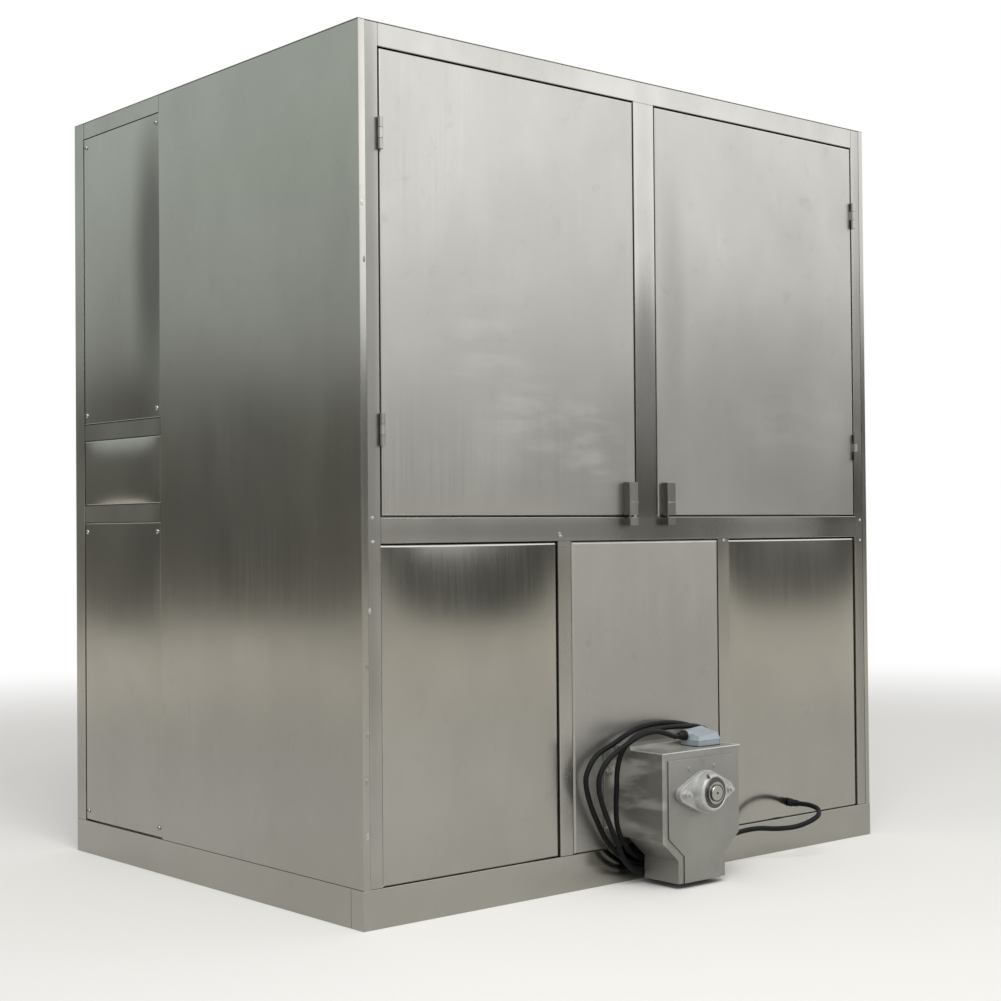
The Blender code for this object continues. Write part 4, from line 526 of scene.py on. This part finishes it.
def make_world():
    """White to the camera, plain light on matte surfaces, and a studio of its own in reflections.

    The studio has a bright front sky and a duller side sky over a dark wall, and one dark round shape.
    """
    world = bpy.data.worlds.new("studio")
    bpy.context.scene.world = world
    world.use_nodes = True
    world.cycles.sampling_method = "NONE"
    tree = world.node_tree
    direction = put(tree, "TexCoord").outputs["Generated"]
    parts = put(tree, "SeparateXYZ")
    join(tree, direction, parts.inputs[0])
    height = parts.outputs["Z"]
    front = spread(tree, measured(tree, "DOT_PRODUCT", direction, FRONT_WAY), 0.0, 1.0, *FRONT_BLEND)
    wall_top = spread(tree, front, *WALL_TOP, start=0.0, end=1.0, kind="LINEAR")
    above = spread(tree, combine(tree, "SUBTRACT", height, wall_top), 0.0, 1.0, -WALL_EDGE, WALL_EDGE)
    side_sky = mixed(tree, spread(tree, height, 0.0, 1.0, *SIDE_SKY_RISE), SIDE_SKY_LOW, SIDE_SKY_HIGH)
    sky = mixed(tree, front, side_sky, FRONT_SKY)
    bright = spread(tree, measured(tree, "DOT_PRODUCT", direction, BRIGHT_WAY), DIM_SHARE, 1.0, *BRIGHT_BLEND)
    level = combine(tree, "MAXIMUM", bright, combine(tree, "SUBTRACT", 1.0, front))
    sky = mixed(tree, level, (0.0, 0.0, 0.0), sky)
    studio = mixed(tree, above, mixed(tree, front, SIDE_WALL, FRONT_WALL), sky)
    reach = measured(tree, "SUBTRACT", direction, SHAPE_WAY, "Vector")
    away = measured(tree, "LENGTH", measured(tree, "DIVIDE", reach, SHAPE_SIZE, "Vector"))
    studio = mixed(tree, spread(tree, away, SHAPE_SHARE, 0.0, *SHAPE_EDGE), studio, SHAPE_COLOUR)
    path = put(tree, "LightPath")
    reflected = combine(tree, "MAXIMUM", path.outputs["Is Glossy Ray"], path.outputs["Is Transmission Ray"])
    light = mixed(tree, reflected, MATTE_LIGHT, studio)
    shown = mixed(tree, path.outputs["Is Camera Ray"], light, WHITE)
    join(tree, shown, tree.nodes["Background"].inputs["Color"])


def make_lamp():
    data = bpy.data.lights.new("key", "AREA")
    data.size = KEY_SIZE
    data.energy = KEY_POWER
    lamp = bpy.data.objects.new("key", data)
    lamp.location = KEY_PLACE
    lamp.rotation_euler = (Vector(KEY_TARGET) - Vector(KEY_PLACE)).to_track_quat("-Z", "Y").to_euler()
    bpy.context.scene.collection.objects.link(lamp)


# Cable
CABLE_RADIUS = 0.0065
CABLE_STEPS = 5
CABLE_ROUTE = [
    (0.030, -0.7525, 0.358), (0.002, -0.7525, 0.358), (-0.030, -0.753, 0.368), (-0.070, -0.753, 0.376),
    (-0.110, -0.748, 0.370), (-0.152, -0.739, 0.350), (-0.196, -0.730, 0.323), (-0.225, -0.724, 0.288),
    (-0.230, -0.722, 0.250), (-0.216, -0.720, 0.207), (-0.192, -0.718, 0.160), (-0.164, -0.715, 0.110),
    (-0.134, -0.710, 0.063), (-0.097, -0.7055, 0.036), (-0.050, -0.7055, 0.026), (0.005, -0.7055, 0.026),
    (0.060, -0.7055, 0.030), (0.115, -0.7055, 0.046), (0.158, -0.706, 0.082), (0.183, -0.708, 0.132),
    (0.192, -0.710, 0.190), (0.193, -0.712, 0.250), (0.184, -0.716, 0.312), (0.160, -0.720, 0.354),
    (0.110, -0.7235, 0.372), (0.060, -0.7245, 0.376), (0.010, -0.726, 0.378), (-0.049, -0.728, 0.376),
    (-0.106, -0.724, 0.364), (-0.144, -0.718, 0.334), (-0.157, -0.712, 0.292), (-0.157, -0.708, 0.245),
    (-0.156, -0.704, 0.195), (-0.148, -0.700, 0.148), (-0.126, -0.697, 0.106), (-0.092, -0.694, 0.074),
    (-0.045, -0.693, 0.055), (0.010, -0.693, 0.050), (0.065, -0.693, 0.052), (0.115, -0.693, 0.062),
    (0.155, -0.693, 0.096), (0.174, -0.693, 0.146), (0.179, -0.693, 0.205), (0.180, -0.693, 0.262),
    (0.172, -0.693, 0.318), (0.146, -0.692, 0.358), (0.095, -0.690, 0.377), (0.035, -0.689, 0.384),
    (-0.020, -0.688, 0.383), (-0.082, -0.687, 0.372), (-0.144, -0.686, 0.347), (-0.199, -0.686, 0.325),
    (-0.231, -0.688, 0.294), (-0.241, -0.688, 0.260), (-0.226, -0.688, 0.207), (-0.202, -0.687, 0.161),
    (-0.171, -0.686, 0.113), (-0.123, -0.684, 0.068), (-0.075, -0.682, 0.043), (-0.015, -0.681, 0.034),
    (0.045, -0.681, 0.034), (0.115, -0.682, 0.041), (0.190, -0.687, 0.058), (0.280, -0.697, 0.078),
    (0.342, -0.716, 0.086), (0.393, -0.742, 0.083), (0.436, -0.768, 0.086), (0.468, -0.787, 0.097),
    (0.502, -0.791, 0.110), (0.528, -0.771, 0.122), (0.537, -0.7356, 0.128), (0.537, -0.6966, 0.128),
]


def smooth_points(route):
    """Points on a smooth curve through the route's own points."""
    route = [Vector(point) for point in route]
    padded = [2 * route[0] - route[1]] + route + [2 * route[-1] - route[-2]]
    points = []
    for a, b, c, d in zip(padded, padded[1:], padded[2:], padded[3:]):
        for step in range(CABLE_STEPS):
            t = step / CABLE_STEPS
            points.append(0.5 * (2 * b + (c - a) * t + (2 * a - 5 * b + 4 * c - d) * t ** 2
                                 + (3 * b - a - 3 * c + d) * t ** 3))
    return points + [route[-1]]


def make_cable():
    curve = bpy.data.curves.new("control_cable", "CURVE")
    curve.dimensions = "3D"
    curve.bevel_depth = CABLE_RADIUS
    curve.bevel_resolution = 5
    curve.use_fill_caps = True
    points = smooth_points(CABLE_ROUTE)
    spline = curve.splines.new("POLY")
    spline.points.add(len(points) - 1)
    for knot, point in zip(spline.points, points):
        knot.co = (*point, 1.0)
    curve.materials.append(looks["cable_rubber"])
    cable = bpy.data.objects.new("control_cable", curve)
    bpy.context.scene.collection.objects.link(cable)
    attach(cable, CABINET)
    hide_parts("outlet_cable")


# Sheets: each form is a crown, the power that flattens its middle, the rim's radius and the ripple's height
LOWER_FORM = (0.0080, 3.1, 0.005, 0.0010)
SIDE_FORM = (0.0016, 4.0, 0.0015, 0.0022)
ACCESS_FORM = (0.0035, 3.0, 0.002, 0.0012)
SHEET_CELLS = (26, 40)
SIDE_CELLS = (34, 60)
CROWN_INSIDE = 0.55  # the share of the crown that lies behind the CAD face
RIM_ANGLES = (0, 30, 60)
RIM_END = 1.4  # in radii, where a rim's close rows end
STILL_RIM = 8  # the power that keeps the ripple off the rims
RIPPLE_ACROSS = 2.6
RIPPLE_UP = 1.9


def stops(length, radius, count):
    """Places across a face: close together on its rounded rims, and even between them."""
    rim = [radius * (1 - math.cos(math.radians(angle))) for angle in RIM_ANGLES] + [radius, radius * RIM_END]
    inset = 2 * radius
    inner = [inset + (length - 2 * inset) * step / count for step in range(count + 1)]
    return rim + inner + [length - value for value in reversed(rim)]


def rim_drop(place, length, radius):
    edge = min(place, length - place)
    if edge >= radius:
        return 0.0
    return radius - math.sqrt(radius ** 2 - (radius - edge) ** 2)


def pillow(low, high, axis, side, form, seed, cells):
    """A closed sheet panel between two corners, whose outer face crowns and ripples a little."""
    crown, power, radius, ripple = form
    across = 1 - axis
    width, height = high[across] - low[across], high[2] - low[2]
    face = high[axis] if side > 0 else low[axis]
    back = low[axis] if side > 0 else high[axis]
    columns, rows = stops(width, radius, cells[0]), stops(height, radius, cells[1])
    shape = bmesh.new()
    grid = []
    for v in rows:
        line = []
        for u in columns:
            s, t = abs(2 * u / width - 1), abs(2 * v / height - 1)
            bulge = crown * (1 - s ** power) * (1 - t ** power)
            mask = (1 - s ** STILL_RIM) * (1 - t ** STILL_RIM)
            wave = ripple * mask * noise.noise(Vector((u * RIPPLE_ACROSS + seed, v * RIPPLE_UP, seed)))
            drop = min(radius, rim_drop(u, width, radius) + rim_drop(v, height, radius))
            place = [0.0, 0.0, low[2] + v]
            place[axis] = face + side * (bulge + wave - drop)
            place[across] = low[across] + u
            line.append(shape.verts.new(place))
        grid.append(line)
    for line, following in zip(grid, grid[1:]):
        for a, b, c, d in zip(line, line[1:], following[1:], following):
            shape.faces.new((a, b, c, d))
    rim = grid[0] + [line[-1] for line in grid[1:]] + grid[-1][-2::-1] + [line[0] for line in grid[-2:0:-1]]
    rear = []
    for vertex in rim:
        place = vertex.co.copy()
        place[axis] = back
        rear.append(shape.verts.new(place))
    count = len(rim)
    for step in range(count):
        after = (step + 1) % count
        shape.faces.new((rim[step], rear[step], rear[after], rim[after]))
    shape.faces.new(rear)
    return shape


def replace_with_pillow(node, axis, side, face, form, seed, look=None, cells=SHEET_CELLS):
    low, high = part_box(node)
    outer = high if side > 0 else low
    outer[axis] = face - side * CROWN_INSIDE * form[0]
    slot = SLOTS[node]
    shape = pillow(low, high, axis, side, form, seed, cells)
    piece = finished(node + "_sheet", shape, look or slot, CABINET)
    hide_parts(node)


def make_sheets():
    for word, seed in (("left", 0.0), ("right", 3.1)):
        replace_with_pillow(f"lower_{word}_panel", 1, -1, FRONT, LOWER_FORM, seed=seed, look="panel_steel")
    for word, side in SIDES:
        face = side * OUTER
        replace_with_pillow(f"{word}_side_panel", 0, side, face, SIDE_FORM, seed=side * 4.7, cells=SIDE_CELLS)
        for number, level in enumerate(("upper", "middle", "lower")):
            replace_with_pillow(f"{word}_{level}_access_panel", 0, side, face, ACCESS_FORM,
                                seed=side * number * 1.7, look="column_steel")


# Screws
SCREW_RADIUS = 0.0065
SCREW_RISE = 0.0032
SCREW_SINK = 0.001
SCREW_STEPS = 5
DOME_POWER = 0.6
DOME_TIP = 0.0004
CROSS_SINK = 0.0009
CROSS_DEPTH = 0.002
CROSS_BARS = ((0.0030, 0.0006), (0.0006, 0.0030))
SIDE_INSET = 0.014
END_INSET = 0.024
REAR_INSET = 0.022


def screw(place, axis, side):
    """A pan head on a face that looks along an axis, and the two bars of its cross recess."""
    across = 1 - axis
    way = [0, 0, 0]
    way[axis] = side
    profile = [(-SCREW_SINK, SCREW_RADIUS)]
    for step in range(SCREW_STEPS + 1):
        angle = math.radians(90 * step / SCREW_STEPS)
        radius = max(SCREW_RADIUS * math.cos(angle) ** DOME_POWER, DOME_TIP)
        profile.append((SCREW_RISE * math.sin(angle), radius))
    centre = list(place)
    centre[axis] -= side * SCREW_SINK
    top = place[axis] + side * (SCREW_RISE - CROSS_SINK)
    bars = []
    for half_wide, half_high in CROSS_BARS:
        low, high = [0, 0, place[2] - half_high], [0, 0, place[2] + half_high]
        low[across], high[across] = place[across] - half_wide, place[across] + half_wide
        low[axis], high[axis] = sorted((top, top - side * CROSS_DEPTH))
        bars.append(block(low, high))
    return turned(profile, centre, way, sides=20), bars


def make_screws():
    screws = []
    for word, side in SIDES:
        for level in ("upper", "lower"):
            low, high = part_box(f"{word}_{level}_access_panel")
            for y in (low[1] + SIDE_INSET, high[1] - SIDE_INSET):
                for z in (low[2] + END_INSET, high[2] - END_INSET):
                    screws.append(screw((side * OUTER, y, z), 0, side))
    low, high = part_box("rear_panel")
    for x in (low[0] + REAR_INSET, (low[0] + high[0]) / 2, high[0] - REAR_INSET):
        for z in (low[2] + REAR_INSET, (low[2] + high[2]) / 2, high[2] - REAR_INSET):
            screws.append(screw((x, high[1], z), 1, 1))
    heads = [head for head, bars in screws]
    crosses = [bar for head, bars in screws for bar in bars]
    finished("panel_screws", merged(heads), "polished_steel", CABINET)
    # The cross recesses are dark blocks of painted shade.
    finished("screw_crosses", merged(crosses), "dark_gap", CABINET)


# Frame seams and welds
SEAM = 0.0007
SEAM_RISE = 0.0002
SEAM_SINK = 0.0006
SEAM_END = 0.001
BASE_CORNER = 0.046  # from the front to the seam in the base's side
# Each seam's X from and to, and its Z from and to. SIDE_SEAMS are on both sides.
SIDE_SEAMS = ((0.8335, 0.8335, 1.946, 1.997), (0.8335, 0.8335, 0.845, 0.901), (0.262, 0.304, 0.8445, 0.8445))
MULLION_SEAMS = [(-0.036, 0.036, 1.9448, 1.9448), (-0.036, 0.036, 0.9022, 0.9022)]
# X and Z of the dressed welds, those on the left post and those on the rails, and the half sizes of a mark
POST_WELDS = ((-0.8650, 0.697), (-0.8740, 0.575), (-0.8730, 0.427), (-0.8760, 0.323), (-0.8750, 0.205),
              (-0.8790, 1.593), (-0.8740, 1.469))
RAIL_WELDS = ((-0.8560, 0.901), (-0.8560, 0.848), (-0.3000, 0.862), (-0.2960, 0.856), (0.8560, 0.891),
              (0.8560, 0.834), (0.0420, 0.905), (-0.0420, 0.905), (0.2850, 0.840))
POST_MARK = (0.0036, 0.0005, 0.0075)
RAIL_MARK = (0.0048, 0.0006, 0.0036)
MARK_ROUGHNESS = 0.25
MARK_GRAIN = 2.2
MARK_STEP = 3.7


def make_seams():
    """The joints between the frame's tubes, and the corner joints of the base, as fine dark lines of painted
    shade.
    """
    lines = [(side * x_one, side * x_two, z_low, z_high) for side in (-1, 1)
             for x_one, x_two, z_low, z_high in SIDE_SEAMS]
    strips = []
    for x_one, x_two, z_low, z_high in lines + MULLION_SEAMS:
        x_low, x_high = sorted((x_one, x_two))
        strips.append(block((x_low - SEAM / 2, FRONT - SEAM_RISE, z_low - SEAM / 2),
                            (x_high + SEAM / 2, FRONT + SEAM_SINK, z_high + SEAM / 2)))
    low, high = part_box("base_frame")
    corner = FRONT + BASE_CORNER
    for side, face in ((-1, low[0]), (1, high[0])):
        x_low, x_high = sorted((face + side * SEAM_RISE, face - side * SEAM_SINK))
        strips.append(block((x_low, corner, SEAM_END), (x_high, corner + SEAM, high[2] - SEAM_END)))
    finished("frame_seams", merged(strips), "dark_gap", CABINET)


def make_weld_marks():
    """The dressed weld marks on the frame's front, as small flat uneven beads."""
    places = [(*place, POST_MARK) for place in POST_WELDS] + [(*place, RAIL_MARK) for place in RAIL_WELDS]
    beads = []
    for number, (x, z, size) in enumerate(places):
        shape = bmesh.new()
        bmesh.ops.create_icosphere(shape, subdivisions=3, radius=1.0)
        for vertex in shape.verts:
            grain = noise.noise(vertex.co * MARK_GRAIN + Vector((number * MARK_STEP, 0, 0)))
            rough = 1 + MARK_ROUGHNESS * grain
            vertex.co = Vector((x + vertex.co.x * size[0] * rough, FRONT + vertex.co.y * size[1],
                                z + vertex.co.z * size[2] * rough))
        beads.append(shape)
    finished("weld_marks", merged(beads), "bare_weld", CABINET, angle=60.0)


# Door details
HINGE_RADIUS = 0.006
LINE_HALF = 0.0005
LINE_SINK = 0.001
LINE_RISE = 0.0001
FOLD = 0.0025  # thickness of the latches' folded flanges and covers
LATCH_RISE = 0.006
KNOB_ROOM = 0.017
COVER_GAP = 0.0012
COVER_EDGE = 0.0006
RIB_RISE = 0.0006
RIB_TOP = 0.0008
RIB_END = 0.0030
RIB_SINK = 0.0004
DOOR_EDGES = (0.0393, 0.8302)  # a door's inner and outer edge, from the middle
SEAL_INSET = 0.014
SEAL_WIDTH = 0.014
SEAL_DEPTHS = (0.0375, 0.0392)  # a gasket's front and back, behind the frame's front


def make_hinge_lines():
    """Dark lines of painted shade between the knuckles of each hinge."""
    inner, outer = HINGE_RADIUS - LINE_SINK, HINGE_RADIUS + LINE_RISE
    section = [(-LINE_HALF, inner), (LINE_HALF, inner), (LINE_HALF, outer), (-LINE_HALF, outer)]
    rings = []
    for joint in frame["record"]["behaviour"]["joints"]:
        if not joint["name"].endswith("door_hinge"):
            continue
        x, y = joint["pos_m"][:2]
        for place in ("upper", "lower"):
            low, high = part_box(joint["name"].split("_")[0] + f"_{place}_hinge")
            third = (high[2] - low[2]) / 3
            for z in (low[2] + third, high[2] - third):
                rings.append(lathed(section, (x, y, z), (0, 0, 1), sides=24))
    finished("hinge_lines", merged(rings), "dark_gap", CABINET)


def fold_edges(piece):
    bevel = piece.modifiers.new("bevel", "BEVEL")
    bevel.width = COVER_EDGE
    bevel.segments = 2


def make_latch_covers():
    """The folded flanges, cover and rib of each tower bolt, and the cover of its keeper."""
    for word in ("left", "right"):
        body = f"{word}_door_body"
        low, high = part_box(f"{word}_latch_plate")
        front, back = low[1] - LATCH_RISE, high[1]
        middle = (low[2] + high[2]) / 2
        split = middle - KNOB_ROOM / 2
        x_low, x_high = low[0] - FOLD, high[0] + FOLD
        # The right-hand flange is open for the knob.
        flanges = [block((x_low, front, low[2]), (low[0], back, high[2])),
                   block((high[0], front, low[2]), (x_high, back, middle - KNOB_ROOM)),
                   block((high[0], front, middle + KNOB_ROOM), (x_high, back, high[2]))]
        fold_edges(finished(f"{word}_latch_guard", merged(flanges), "aged_steel", body))
        covers = [block((x_low, front - FOLD, low[2]), (x_high, front, split)),
                  block((x_low, front - FOLD, split + COVER_GAP), (x_high, front, high[2]))]
        fold_edges(finished(f"{word}_latch_cover", merged(covers), "aged_steel", body))
        rib = block((x_low - RIB_RISE, front - FOLD - RIB_RISE, split - RIB_RISE),
                    (x_high + RIB_END, front - RIB_SINK, split + RIB_TOP))
        finished(f"{word}_latch_rib", rib, "bare_weld", body)
        low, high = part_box(f"{word}_latch_keeper")
        x_low, x_high = low[0] - FOLD, high[0] + FOLD
        fork = [block((x_low, front, low[2]), (low[0], high[1], high[2])),
                block((high[0], front, low[2]), (x_high, high[1], high[2])),
                block((x_low, front - FOLD, low[2]), (x_high, front, high[2]))]
        finished(f"{word}_keeper_cover", merged(fork), "aged_steel", CABINET)


def make_door_seals():
    """A soft black gasket round the back of each door, outside its pressed liner."""
    front, back = FRONT + SEAL_DEPTHS[0], FRONT + SEAL_DEPTHS[1]
    for word, side in SIDES:
        door_low, door_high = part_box(f"{word}_door")
        x_low, x_high = sorted(side * edge for edge in DOOR_EDGES)
        low = Vector((x_low + SEAL_INSET, front, door_low[2] + SEAL_INSET))
        high = Vector((x_high - SEAL_INSET, back, door_high[2] - SEAL_INSET))
        base, top = low.z + SEAL_WIDTH, high.z - SEAL_WIDTH
        strips = [block(low, (high.x, back, base)),
                  block((low.x, front, top), high),
                  block((low.x, front, base), (low.x + SEAL_WIDTH, back, top)),
                  block((high.x - SEAL_WIDTH, front, base), (high.x, back, top))]
        shape = merged(strips)
        bmesh.ops.remove_doubles(shape, verts=shape.verts, dist=WELD_DISTANCE)
        finished(f"{word}_door_seal", shape, "cable_rubber", f"{word}_door_body")


# Outlet details: sections and profiles are pairs of a distance along the axis and a radius
BEARING_RIM = ((-0.001, 0.0372), (0.0008, 0.0376), (0.0016, 0.0386), (0.0016, 0.0404), (0.0006, 0.0414),
               (-0.001, 0.0416))
BEARING_SEAL = ((-0.001, 0.0276), (0.0004, 0.0278), (0.0004, 0.0318), (0.0009, 0.0322), (0.0009, 0.0350),
                (0.0002, 0.0356), (0.0002, 0.0374), (-0.001, 0.0374))
NIPPLE = ((0, 0.0045), (0.003, 0.0045), (0.0035, 0.003), (0.007, 0.0028), (0.008, 0.0034), (0.0095, 0.0034),
          (0.011, 0.0018))
NIPPLE_WAY = (-0.45, -0.25, 0.85)
NIPPLE_BACK = 0.014
NIPPLE_REACH = 0.043
CENTRE_HOLE = ((-0.0002, 0.0032), (0.0004, 0.0032))
CIRCLIP = ((0.0002, 0.0202), (0.0046, 0.0202), (0.0046, 0.0207), (0.0002, 0.0207))
CIRCLIP_BACK = 0.0046
COLLAR_SCREW = ((0, 0.0021), (0.0006, 0.0021))
COLLAR_ANGLES = (70, 190)
COLLAR_BACK = 0.0065
COLLAR_REACH = 0.0266
OUTLET_SIDES = (-0.122, 0.150)
OUTLET_TOP = 0.332
OUTLET_BACK = -0.722
PLATE_STEP = 0.0034
EDGE = 0.003
EDGE_LAP = 0.0012
EDGE_RISE = 0.0008
EDGE_FRONT = 0.0006
SWITCH_WIDTH = 0.078
SWITCH_WALL = 0.0142
GASKET_LAP = 0.0012
GASKET_SINK = 0.0003
GASKET_RISE = 0.0014
GASKET_RADIUS = 0.006
LID_LINE = 0.0005
LID_RISE = 0.0001
LID_RADIUS = 0.005
BOOT = ((0, 0.0125), (0.007, 0.0125), (0.0075, 0.0106), (0.013, 0.0103), (0.0135, 0.0094), (0.018, 0.0091),
        (0.0185, 0.0083), (0.024, 0.0080), (0.0245, 0.0072))
BOOT_BACK = 0.008


def make_outlet_edges():
    """The edges of the outlet's top sheet, which laps a little over its front and sides, as strips of painted
    highlight.
    """
    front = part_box("outlet_front_plate")[1][1] - PLATE_STEP
    x_low, x_high = OUTLET_SIDES
    base, top = OUTLET_TOP - EDGE_LAP, OUTLET_TOP + EDGE_RISE
    strips = [block((x_low - EDGE_LAP, front - EDGE_FRONT, base), (x_high + EDGE_LAP, front + EDGE, top)),
              block((x_low - EDGE_LAP, front + EDGE, base), (x_low + EDGE, OUTLET_BACK, top)),
              block((x_high - EDGE, front + EDGE, base), (x_high + EDGE_LAP, OUTLET_BACK, top))]
    finished("outlet_edges", merged(strips), "bare_edge", CABINET)


def make_bearing_details():
    """The bearing's rim, seal and grease nipple, and the shaft's centre hole as a dark disc of painted shade,
    its circlip and collar screws.
    """
    low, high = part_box("bearing_housing")
    centre = Vector(((low[0] + high[0]) / 2, low[1], (low[2] + high[2]) / 2))
    out = Vector((0, -1, 0))
    finished("bearing_rim", lathed(BEARING_RIM, centre, out), "silver_paint", CABINET)
    finished("bearing_seal", lathed(BEARING_SEAL, centre, out), "aged_steel", CABINET)
    way = Vector(NIPPLE_WAY).normalized()
    nipple = turned(NIPPLE, centre - out * NIPPLE_BACK + way * NIPPLE_REACH, way, sides=12)
    finished("grease_nipple", nipple, "aged_steel", CABINET)
    end = Vector((centre.x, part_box("auger_shaft")[0][1], centre.z))
    finished("shaft_centre", turned(CENTRE_HOLE, end, out, sides=20), "dark_gap", "auger")
    ring = lathed(CIRCLIP, end - out * CIRCLIP_BACK, out)
    finished("shaft_circlip", ring, "aged_steel", "auger")
    screws = []
    for angle in COLLAR_ANGLES:
        way = Vector((math.cos(math.radians(angle)), 0, math.sin(math.radians(angle))))
        screws.append(turned(COLLAR_SCREW, end - out * COLLAR_BACK + way * COLLAR_REACH, way, sides=10))
    finished("collar_screws", merged(screws), "dark_gap", "auger")


def make_switch_details():
    """The switch box's gasket, a dark line of painted shade under its lid, and the cable's boot."""
    low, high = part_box("switch_box")
    x_low, x_high, base = high[0] - SWITCH_WIDTH, high[0], low[2]
    gasket = rounded((x_low - GASKET_LAP, low[1] - GASKET_LAP, base - GASKET_SINK),
                     (x_high + GASKET_LAP, high[1] + GASKET_LAP, base + GASKET_RISE), GASKET_RADIUS)
    finished("switch_gasket", gasket, "black_plastic", CABINET)
    seam = rounded((x_low - LID_RISE, low[1] - LID_RISE, base + SWITCH_WALL - LID_LINE),
                   (x_high + LID_RISE, high[1] + LID_RISE, base + SWITCH_WALL), LID_RADIUS)
    finished("switch_seam", seam, "dark_gap", CABINET)
    boot = turned(BOOT, Vector(CABLE_ROUTE[0]) + Vector((BOOT_BACK, 0, 0)), (-1, 0, 0), sides=24)
    finished("cable_boot", boot, "black_plastic", CABINET)


def build():
    bpy.context.scene.view_settings.view_transform = "Standard"
    make_camera()
    make_cable()
    make_floor()
    make_world()
    make_lamp()
    dress_nodes()
    make_sheets()
    make_screws()
    make_seams()
    make_weld_marks()
    make_hinge_lines()
    make_latch_covers()
    make_door_seals()
    make_outlet_edges()
    make_bearing_details()
    make_switch_details()
    for name, width, segments in SOFT_EDGES:
        soften(name, width, segments)


build()
